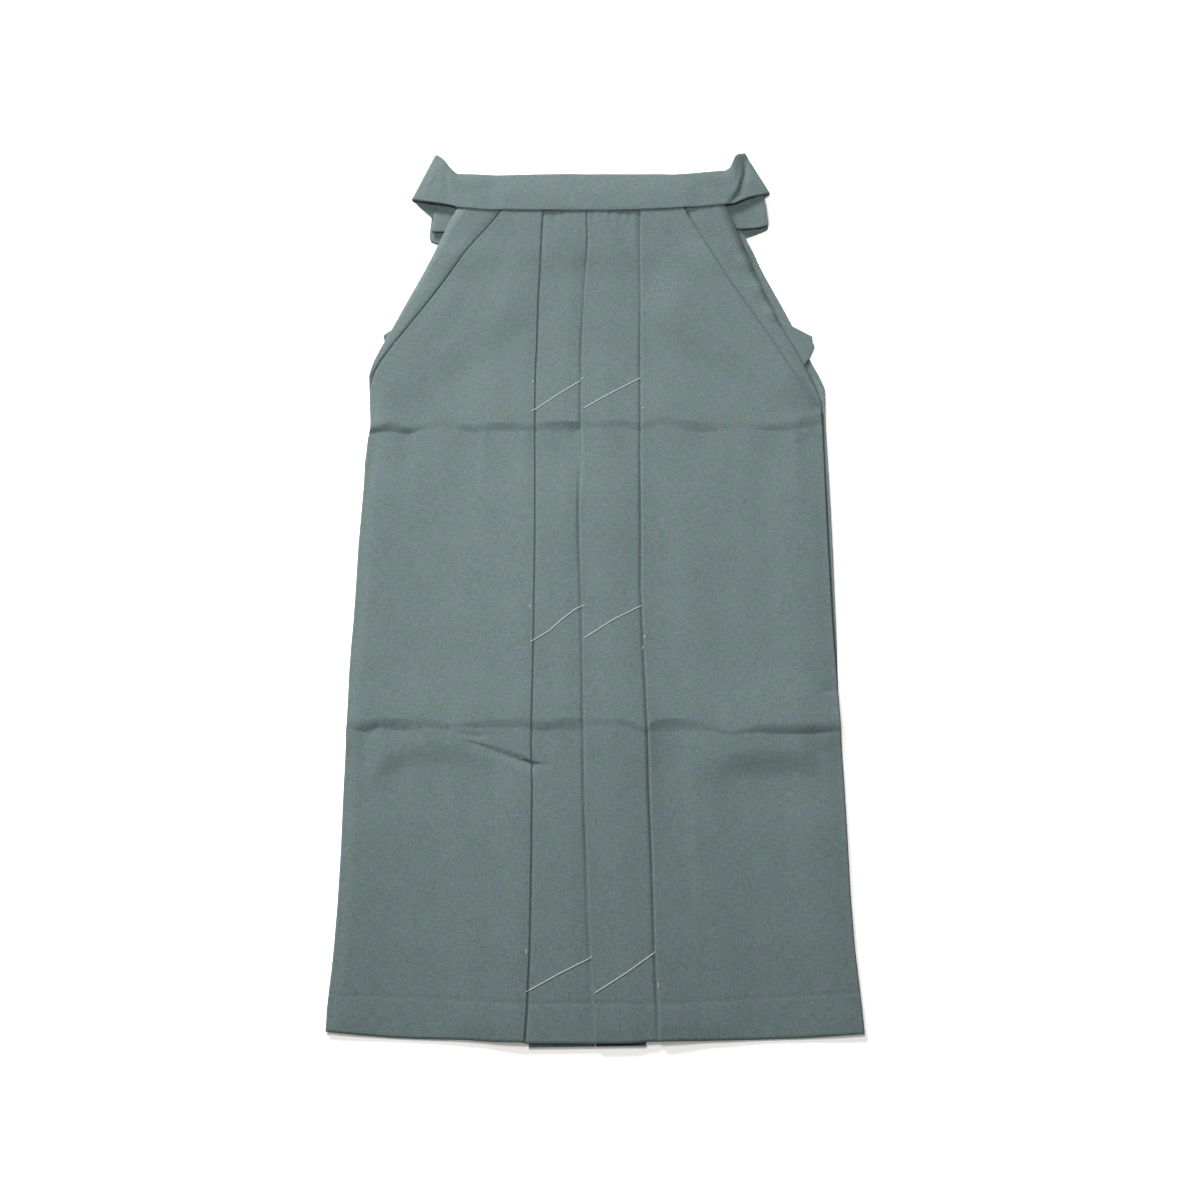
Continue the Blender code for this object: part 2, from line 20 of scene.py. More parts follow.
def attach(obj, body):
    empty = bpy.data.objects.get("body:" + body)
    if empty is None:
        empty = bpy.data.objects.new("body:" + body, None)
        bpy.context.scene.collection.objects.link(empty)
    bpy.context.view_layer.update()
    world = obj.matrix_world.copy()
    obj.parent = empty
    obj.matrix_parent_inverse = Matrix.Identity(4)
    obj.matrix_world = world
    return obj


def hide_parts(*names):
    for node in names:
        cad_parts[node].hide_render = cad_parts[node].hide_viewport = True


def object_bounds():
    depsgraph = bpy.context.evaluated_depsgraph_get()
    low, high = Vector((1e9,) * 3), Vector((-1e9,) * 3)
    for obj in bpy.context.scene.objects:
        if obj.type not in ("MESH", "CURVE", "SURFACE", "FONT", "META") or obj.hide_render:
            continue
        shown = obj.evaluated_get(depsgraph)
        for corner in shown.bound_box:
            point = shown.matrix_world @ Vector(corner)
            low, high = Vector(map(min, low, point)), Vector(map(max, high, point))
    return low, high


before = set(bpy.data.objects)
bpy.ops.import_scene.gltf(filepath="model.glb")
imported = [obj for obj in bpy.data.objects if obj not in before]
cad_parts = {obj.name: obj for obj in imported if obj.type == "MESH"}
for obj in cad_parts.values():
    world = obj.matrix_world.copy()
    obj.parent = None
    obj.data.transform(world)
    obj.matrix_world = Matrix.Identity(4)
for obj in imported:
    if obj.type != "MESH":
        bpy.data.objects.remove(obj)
cad_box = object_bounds()
MM = 0.001
box_size = [round(float(size) / MM, 1) for size in cad_box[1] - cad_box[0]]
print("frame:", len(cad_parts), "nodes,", box_size, "mm")

# %% [markdown]
# ## The camera
# A garment laid on a table is looked at from straight above, or nearly: the lens here stands over
# the hem and leans 18 degrees towards the waist. That makes the waist look a little narrower than
# it is. The camera is a plain perspective one, with no shift and no depth of field.

# %% Set up the camera
CAMERA_PLACE = (0.004438, -0.551534, 1.599588)
CAMERA_LEAN = 17.744672        # degrees from straight down
CAMERA_SPIN = -0.632985
LENS, SENSOR_WIDTH = 48.0, 36.0        # mm


def add_object(name, data):
    """A new object in the scene that shows a camera, a lamp or a mesh."""
    added = bpy.data.objects.new(name, data)
    bpy.context.collection.objects.link(added)
    return added


camera = add_object("camera", bpy.data.cameras.new("camera"))
camera.location = CAMERA_PLACE
camera.rotation_euler = (math.radians(CAMERA_LEAN), 0.0, math.radians(CAMERA_SPIN))
camera.data.lens = LENS
camera.data.sensor_width = SENSOR_WIDTH
camera.data.sensor_fit = "HORIZONTAL"
bpy.context.scene.camera = camera
print("camera:", LENS, "mm lens,", round(CAMERA_PLACE[2], 2), "m above the cloth")

# %% [markdown]
# ## The floor and the light
# The surface is bright and white. One wide soft light stands far beyond the waist, to the left and
# low, so every fold has a dark side that faces the hem or the right. A weaker lamp overhead and the
# sky fill the shadows. There is enough light to make the table pure white, and the cloth's own
# colours are that much deeper. The Standard view transform keeps them as they are worked out. An
# environment texture could light it too, but two lamps and a plain sky are easier to aim.

# %% The table top, white with a painted glow
def linear(colour):
    """An sRGB hex colour such as "#707f7d" as linear red, green and blue, with alpha 1."""
    shares = [int(colour[place:place + 2], 16) / 255 for place in (1, 3, 5)]
    return [s / 12.92 if s <= 0.04045 else ((s + 0.055) / 1.055) ** 2.4 for s in shares] + [1.0]


def add_node(tree, kind, inputs=None, **settings):
    """Adds a node. An input is a number, a colour or an output to link to, under its name."""
    node = tree.nodes.new(kind)
    for name, value in settings.items():
        setattr(node, name, value)
    for name, value in (inputs or {}).items():
        if isinstance(value, bpy.types.NodeSocket):
            tree.links.new(value, node.inputs[name])
        else:
            node.inputs[name].default_value = value
    return node


def new_material(name):
    """An empty material with its output node, and that node."""
    material = bpy.data.materials.new(name)
    material.use_nodes = True
    material.node_tree.nodes.clear()
    return material, add_node(material.node_tree, "ShaderNodeOutputMaterial")


# The table top is an even, matt white. It also glows a little, though it is no lamp: a painted
# fill light that keeps the shadows round the hem pale.
TABLE_PAINTED_GLOW = 0.24
table_top, output = new_material("white_table_top_with_painted_glow")
tree = table_top.node_tree
place = add_node(tree, "ShaderNodeTexCoord").outputs["Object"]
cloudy = add_node(tree, "ShaderNodeTexNoise", {"Vector": place, "Scale": 2.0, "Detail": 2.0})
tint = add_node(tree, "ShaderNodeMix", data_type="RGBA", inputs={
    "Factor": cloudy.outputs["Fac"], "A": linear("#fcfbf9"), "B": linear("#fefefc")})
glowing_surface = add_node(tree, "ShaderNodeBsdfPrincipled", {
    "Base Color": tint.outputs["Result"], "Roughness": 0.7, "Emission Color": linear("#fffdf9"),
    "Emission Strength": TABLE_PAINTED_GLOW})
tree.links.new(glowing_surface.outputs["BSDF"], output.inputs["Surface"])
print("material:", table_top.name)

# %% The floor
FLOOR_SIZE = 30.0              # so wide that its edges are never in view
FLOOR_DEPTH = 0.1 * MM         # the floor lies this far under the cloth, so that they don't flicker
half = FLOOR_SIZE / 2
corners = [(-half, -half), (half, -half), (half, half), (-half, half)]
floor_mesh = bpy.data.meshes.new("floor")
floor_mesh.from_pydata([(x, y, -FLOOR_DEPTH) for x, y in corners], [], [(0, 1, 2, 3)])
floor_mesh.materials.append(table_top)
floor = add_object("floor", floor_mesh)
print("floor:", FLOOR_SIZE, "m wide")

# %% The lamps and the sky
LAMPS = {                      # place, width across and power
    "window_light": ((-2.4, 4.5, 2.1), 1.6, 610.0),
    "overhead_light": ((-0.12, 0.2, 1.1), 0.6, 11.1),
}
LAMP_AIM = (0.0, 0.0, 0.0)
SKY_STRENGTH = 0.088

for name, (spot, width, power) in LAMPS.items():
    lamp = add_object(name, bpy.data.lights.new(name, "AREA"))
    lamp.data.energy = power
    lamp.data.shape = "DISK"
    lamp.data.size = width
    lamp.data.color = linear("#fffefb")[:3]
    lamp.location = spot
    lamp.rotation_euler = (Vector(LAMP_AIM) - Vector(spot)).to_track_quat("-Z", "Y").to_euler()

world = bpy.data.worlds.new("studio")
world.use_nodes = True
sky = world.node_tree.nodes["Background"]
sky.inputs["Color"].default_value = linear("#fbfcff")
sky.inputs["Strength"].default_value = SKY_STRENGTH
bpy.context.scene.world = world
bpy.context.scene.view_settings.view_transform = "Standard"
print("light:", ", ".join(LAMPS), "and a sky of strength", SKY_STRENGTH)

# %% [markdown]
# ## The lines of the cut
# A tailor draws hakama from a few lines: the outer edge, the slanted pleat beside it, the straight
# pleat, and the middle pleat. Each table below gives these lines in millimetres at a few heights,
# from the waist down to the hem, and keeps within a few millimetres of the frame's solids. Between
# the rows a line is straight, and its corners are eased as pressed cloth eases them. The lines
# could be drawn as curves by hand instead; as tables they stay easy to read and to correct.

# %% Tables of the cut, in millimetres
FRONT = ("y leaf_left fold_left pleat_left centre pleat_right fold_right leaf_right", (
    (440, -141.0, -82.0, -48.0, 0.5, 61.5, 101.0, 152.0),
    (424, -145.5, -91.5, -49.3, 0.6, 61.2, 107.7, 156.6),
    (406, -155.4, -104.5, -50.5, 0.9, 60.8, 116.2, 163.9),
    (388, -163.0, -119.6, -51.4, 1.2, 60.5, 125.9, 170.2),
    (366, -172.6, -136.7, -52.6, 0.4, 60.1, 137.8, 177.4),
    (338, -186.4, -155.0, -53.8, -1.9, 60.0, 153.0, 187.9),
    (311, -199.5, -173.2, -55.4, -3.9, 59.8, 168.6, 198.3),
    (277, -215.5, -197.6, -56.2, -5.5, 59.0, 189.6, 212.3),
    (254, -227.2, -214.2, -56.8, -6.8, 58.3, 203.5, 224.9),
    (236, -235.5, -226.0, -57.8, -7.2, 58.1, 213.2, 233.0),
    (221, -240.1, -234.0, -58.3, -7.4, 57.8, 221.4, 239.7),
    (205, -239.4, -237.8, -58.6, -7.7, 57.6, 231.6, 246.0),
    (190, -238.4, -237.8, -58.7, -8.0, 57.4, 242.0, 251.6),
    (176, -237.7, -237.1, -58.7, -8.0, 57.2, 252.9, 254.2),
    (158, -236.8, -236.2, -58.9, -8.2, 56.9, 253.4, 254.0),
    (147, -239.4, -238.8, -59.0, -8.4, 56.7, 253.6, 254.2),
    (120, -241.3, -240.7, -58.7, -8.9, 56.1, 253.4, 254.0),
    (93, -241.6, -241.0, -58.6, -9.9, 55.8, 253.0, 253.6),
    (62, -243.1, -242.5, -58.5, -11.0, 55.4, 252.6, 253.2),
    (24, -245.0, -244.4, -58.7, -11.0, 54.9, 252.4, 253.0),
    (-30, -246.3, -245.7, -59.3, -9.7, 53.6, 252.3, 252.9),
    (-64, -247.4, -246.8, -59.7, -8.9, 54.5, 252.2, 252.8),
    (-86, -248.7, -248.1, -60.0, -8.7, 55.0, 252.3, 252.9),
    (-120, -249.8, -249.2, -60.6, -8.5, 55.9, 253.2, 253.8),
    (-158, -250.2, -249.6, -61.4, -8.3, 57.0, 253.6, 254.2),
    (-192, -250.3, -249.7, -62.2, -7.8, 57.8, 253.8, 254.4),
    (-240, -251.0, -250.4, -61.1, -7.8, 58.0, 254.4, 255.0),
    (-300, -251.2, -250.6, -61.6, -6.3, 59.1, 254.3, 254.9),
    (-352, -252.5, -251.9, -62.4, -4.9, 59.7, 254.2, 254.8),
    (-401, -254.8, -254.2, -63.2, -3.5, 60.0, 255.4, 256.0),
    (-430, -256.8, -256.2, -64.6, -2.1, 61.2, 257.0, 257.6),
    (-460, -258.8, -258.2, -66.0, -0.6, 62.4, 258.8, 259.4),
    (-490.5, -259.8, -259.2, -68.3, 0.6, 62.5, 260.0, 260.6),
))
# How far each pleat's cloth goes in under its fold before it turns back.
HIDDEN = ("y fold pleat centre", (
    (440, 10, 16, 18), (366, 14, 26, 24), (221, 12, 40, 28), (-490.5, 10, 46, 34)))
# The hem is a shallow curve, and the two middle strips hang a little lower than the panels.
HEM = ("x hem", (
    (-259, -475.0), (-226, -478.4), (-197, -481.0), (-168, -482.6), (-125, -483.9),
    (-96, -486.4), (-70, -487.0), (-66, -488.3), (-10, -489.2), (30, -489.2), (42, -488.8),
    (52, -487.8), (100, -487.5), (149, -487.0), (193, -486.2), (207, -485.8), (221, -485.0),
    (236, -484.2), (259, -483.0)))
BACK = ("y left seam right", (
    (424.6, -143.0, 2.0, 155.0), (396, -156.0, 2.0, 174.5), (388, -159.5, 2.0, 178.2),
    (366, -169.0, 2.0, 188.1), (340, -181.5, 1.0, 198.5), (296, -203.0, 0.0, 218.7),
    (274, -213.5, -1.0, 228.2), (235, -232.0, -4.0, 244.2), (216, -238.0, -5.0, 253.2),
    (200, -236.8, -5.0, 258.9), (157, -234.3, -6.0, 257.2), (62, -240.6, -6.0, 257.2),
    (0, -242.6, -6.0, 256.7), (-42, -243.8, -6.0, 255.9), (-86, -245.6, -6.0, 255.2),
    (-130, -247.6, -6.0, 254.8), (-170, -248.6, -6.0, 253.2), (-300, -249.8, -4.0, 253.2),
    (-401, -253.2, -2.0, 254.0), (-490.5, -258.0, -1.0, 258.2)))
BAND = ("x lower upper", (
    (-147.0, 423.8, 467.7), (-120.0, 420.5, 466.0), (-101.0, 419.0, 464.5), (-60.0, 417.9, 465.4),
    (-20.0, 417.1, 465.7), (0.0, 416.9, 464.9), (20.0, 416.7, 464.8), (60.0, 417.2, 464.1),
    (80.0, 418.0, 464.1), (100.0, 419.0, 463.3), (120.0, 420.4, 464.8), (139.0, 422.2, 466.8),
    (159.0, 424.6, 468.7)))
# Air pressed into the front, from the waist to the hem, and the share of it that is left at each
# side edge. Most of it lies beside the cross folds and under the waistband.
SWELL = ("y height left right", (
    (440, 2.9, 0.8, 0.9), (424, 2.9, 0.8, 0.9), (412, 2.2, 0.8, 0.9), (402, 2.0, 0.8, 0.9),
    (390, 1.9, 0.8, 0.9), (366, 1.9, 0.8, 0.8), (311, 2.0, 0.8, 0.7), (254, 2.2, 0.8, 0.6),
    (225, 2.6, 0.6, 0.5), (205, 3.0, 0.4, 0.4), (172, 3.6, 0.4, 0.4), (160, 3.7, 0.7, 0.7),
    (148, 3.6, 0.7, 0.7), (135, 3.3, 0.3, 0.4), (120, 3.0, 0.25, 0.25), (62, 2.3, 0.2, 0.2),
    (-30, 2.2, 0.2, 0.2), (-120, 3.2, 0.25, 0.25), (-155, 4.2, 0.4, 0.4), (-172, 4.5, 0.8, 0.8),
    (-190, 4.4, 0.8, 0.8), (-204, 4.0, 0.4, 0.4), (-222, 3.3, 0.25, 0.25), (-250, 2.6, 0.2, 0.2),
    (-320, 2.0, 0.2, 0.2), (-401, 1.5, 0.2, 0.2), (-460, 0.9, 0.2, 0.2), (-490.5, 0.5, 0.3, 0.3)))
# Below the waist the middle of the front bridges the step down from the ties.
BRIDGE = ("y height", (
    (416, 0.0), (402, 0.3), (390, 0.7), (376, 1.3), (364, 1.9), (352, 2.6), (340, 2.9),
    (328, 2.7), (311, 2.2), (296, 1.7), (280, 1.2), (254, 0.5), (236, 0.1), (230, 0.0)))
# How far the layer beside a straight pleat's fold has sunk, in mm: where it has, a dark line shows.
GROOVES = ("y left centre right", (
    (440, 0.2, 0.5, 0.6), (300, 0.3, 0.7, 0.8), (255, 0.5, 1.3, 1.4), (198, 0.3, 1.1, 1.3),
    (128, 0.3, 1.3, 1.6), (70, 0.4, 1.7, 1.6), (-42, 0.3, 1.1, 1.3), (-140, 0.3, 1.2, 1.6),
    (-253, 0.5, 1.8, 2.0), (-401, 0.4, 1.3, 1.4), (-448, 0.6, 2.2, 2.3), (-490.5, 1.2, 2.6, 2.6)))

# %% Read the tables
STEP = 0.5                     # mm between the values that a table keeps
EASE = 2.0                     # mm over which a line's corners are eased


def eased(values, reach):
    """values with their corners rounded over reach steps; both ends stay where they are."""
    far = int(4 * reach)
    weights = np.exp(-0.5 * (np.arange(-far, far + 1) / reach) ** 2)
    before = 2 * values[0] - values[far:0:-1]
    after = 2 * values[-1] - values[-2:-far - 2:-1]
    longer = np.concatenate((before, values, after))
    return np.convolve(longer, weights / weights.sum(), "valid")


class Lines:
    """A table with named columns, read in metres at any place along its first column."""

    def __init__(self, table, ease=EASE):
        names, rows = table[0].split(), np.array(sorted(table[1]), float)
        self.places = np.arange(rows[0, 0], rows[-1, 0] + STEP / 2, STEP)
        self.lines = {}
        for column, name in enumerate(names):
            line = np.interp(self.places, rows[:, 0], rows[:, column])
            self.lines[name] = eased(line, ease / STEP)

    def value(self, place, name):
        """A column's value at a place, as the table gives it."""
        return np.interp(np.asarray(place) / MM, self.places, self.lines[name])

    def at(self, place, name):
        """The same, for a column that holds millimetres."""
        return self.value(place, name) * MM


front, hidden, back, band = Lines(FRONT), Lines(HIDDEN), Lines(BACK), Lines(BAND)
hem, grooves = Lines(HEM, ease=1.0), Lines(GROOVES, ease=8.0)
swell_lines, bridge = Lines(SWELL, ease=3.0), Lines(BRIDGE, ease=6.0)
print("hem:", round((front.at(-0.49, "leaf_right") - front.at(-0.49, "leaf_left")) / MM), "mm wide")

# %% [markdown]
# ## What lies under what
# Pressed trousers are a pile of flat layers, and a layer shows the edges of all that lies under
# it as soft steps. So a layer's height is worked out by adding up, at each place, the layers
# below: the folded ties, the waistband of the back, and the gussets between the legs. A cloth
# simulation could drop the layers one by one instead, but it is slow with so many of them, and
# pressed folds come out soft. The frame's solids were laid by such a sum too; here it is read on
# a much finer grid, and holds more of the air that pressing leaves.

# %% Heights of the pile
WALL = 0.7 * MM                # thickness of one layer of cloth
LAYER = 1.3 * MM               # from one layer to the next
Patch = collections.namedtuple("Patch", "level x y length width turn layers")
PATCHES = {
    "tie_runs_under": Patch("floor", 14.0, 404.0, 384.0, 41.0, 0.0, 2),
    "back_waistband": Patch("inside", 5.0, 446.0, 344.0, 41.0, 0.0, 1),
    "tie_runs_inside": Patch("inside", 15.0, 420.0, 382.0, 46.0, 0.0, 2),
    "back_tie_left": Patch("inside", -167.0, 286.5, 132.0, 46.0, 38.0, 2),
    "back_tie_right": Patch("inside", 180.0, 277.0, 138.0, 46.0, -31.0, 2),
    "front_waistband": Patch("inside", 6.0, 449.0, 306.0, 42.0, 0.0, 1),
}
PATCH_MARGIN, PATCH_RAMP = 9.0, 20.0   # mm past a patch's edge: full lift, then the way down
FRONT_RAMP = 48.0              # the front is stiff with pressing, and bridges the steps


def smooth(share):
    """0 to 1 with a soft start and end."""
    share = np.clip(share, 0.0, 1.0)
    return share * share * (3 - 2 * share)


def patch_share(patch, x, y, ramp=PATCH_RAMP):
    """How fully a patch lifts what lies on it: 1 on it and round its edge, 0 well outside."""
    right, up = x / MM - patch.x, y / MM - patch.y
    cosine, sine = math.cos(math.radians(patch.turn)), math.sin(math.radians(patch.turn))
    past_end = np.maximum(abs(right * cosine + up * sine) - patch.length / 2, 0)
    past_side = np.maximum(abs(up * cosine - right * sine) - patch.width / 2, 0)
    outside = np.hypot(past_end, past_side)
    return smooth((PATCH_MARGIN + ramp - outside) / ramp)


def patch_lift(level, x, y, ramp=PATCH_RAMP):
    """The height that the patches of one level add."""
    return sum(patch_share(p, x, y, ramp) * p.layers * LAYER
               for p in PATCHES.values() if p.level == level)


GUSSET_TOP, GUSSET_HEM = 0.040, -0.4916
GUSSET_DEPTH_TOP, GUSSET_DEPTH_HEM = 0.030, 0.057


def gusset_depth(y):
    """How far a gusset reaches out from the centre line."""
    share = np.clip((y - GUSSET_HEM) / (GUSSET_TOP - GUSSET_HEM), 0, 1)
    return GUSSET_DEPTH_HEM + (GUSSET_DEPTH_TOP - GUSSET_DEPTH_HEM) * share


def gusset_lift(x, y):
    """The height that the folded gussets add."""
    reach = (PATCH_MARGIN + FRONT_RAMP) * MM
    outside = abs(x - front.at(y, "centre")) - gusset_depth(y)
    beside = smooth((reach - outside) / (FRONT_RAMP * MM))
    above = smooth((GUSSET_TOP + 2 * reach - y) / (2 * FRONT_RAMP * MM))
    return beside * above * 2 * LAYER


def back_base(x, y):
    """Underside of the back."""
    return patch_lift("floor", x, y)


def inside_base(x, y):
    """Underside of what lies between the back and the front."""
    return back_base(x, y) + LAYER


over_ties = inside_base(np.array([0.0]), np.array([0.42]))[0]
print("over the folded ties, the back's upper side lies", round(over_ties / MM, 1), "mm up")

# %% Air under the front
SWELL_EDGE, SWELL_EDGE_WIDE = 14 * MM, 45 * MM     # how far in from a side edge the air starts
WIDE_BELOW, WIDE_EASE = 0.235, 60 * MM     # on the right it is the wider one below this height
BRIDGE_EDGE = 100 * MM
BRIDGE_AT_RIGHT = 0.5          # the share of the bridge that is left at the right edge
BRIDGE_END = 0.230             # the height where the bridge has come down


def edge_distance(x, y):
    """How far a place on the front is from the nearer side edge."""
    return np.minimum(x - front.at(y, "leaf_left"), front.at(y, "leaf_right") - x)


def swell(x, y):
    """The air under the front, most of it away from the side edges."""
    inside = edge_distance(x, y)
    at_edge = np.where(x < 0, swell_lines.value(y, "left"), swell_lines.value(y, "right"))
    wide = np.where(x < 0, 0, smooth((WIDE_BELOW - y) / WIDE_EASE))
    reach = SWELL_EDGE + (SWELL_EDGE_WIDE - SWELL_EDGE) * wide
    share = at_edge + (1 - at_edge) * smooth(inside / reach)
    kept = np.where(x < 0, 0, BRIDGE_AT_RIGHT)
    bridged = np.where(y > BRIDGE_END, bridge.at(y, "height"), 0)
    bridged = bridged * (kept + (1 - kept) * smooth(inside / BRIDGE_EDGE))
    return swell_lines.at(y, "height") * share + bridged


most = max(height for _, height, _, _ in SWELL[1])
print("the front has sprung up by", most, "mm at most, beside the lower cross fold")

# %% [markdown]
# ## Creases
# Before it was laid out, this pair was folded in three across, which left two valleys from edge
# to edge, and above them the cloth has sprung up. Each crease is one table: places along it, where
# its bottom runs, and how deep it is there. The two long valleys drop on the waist side and rise
# again very slowly towards the hem, and no two parts of them are alike: in places the bank is
# narrow, in places wide, and it is steepest at its foot or at its brink. A negative depth is a
# ridge. Sculpting could press them in as well, but a table gives the same creases each time.

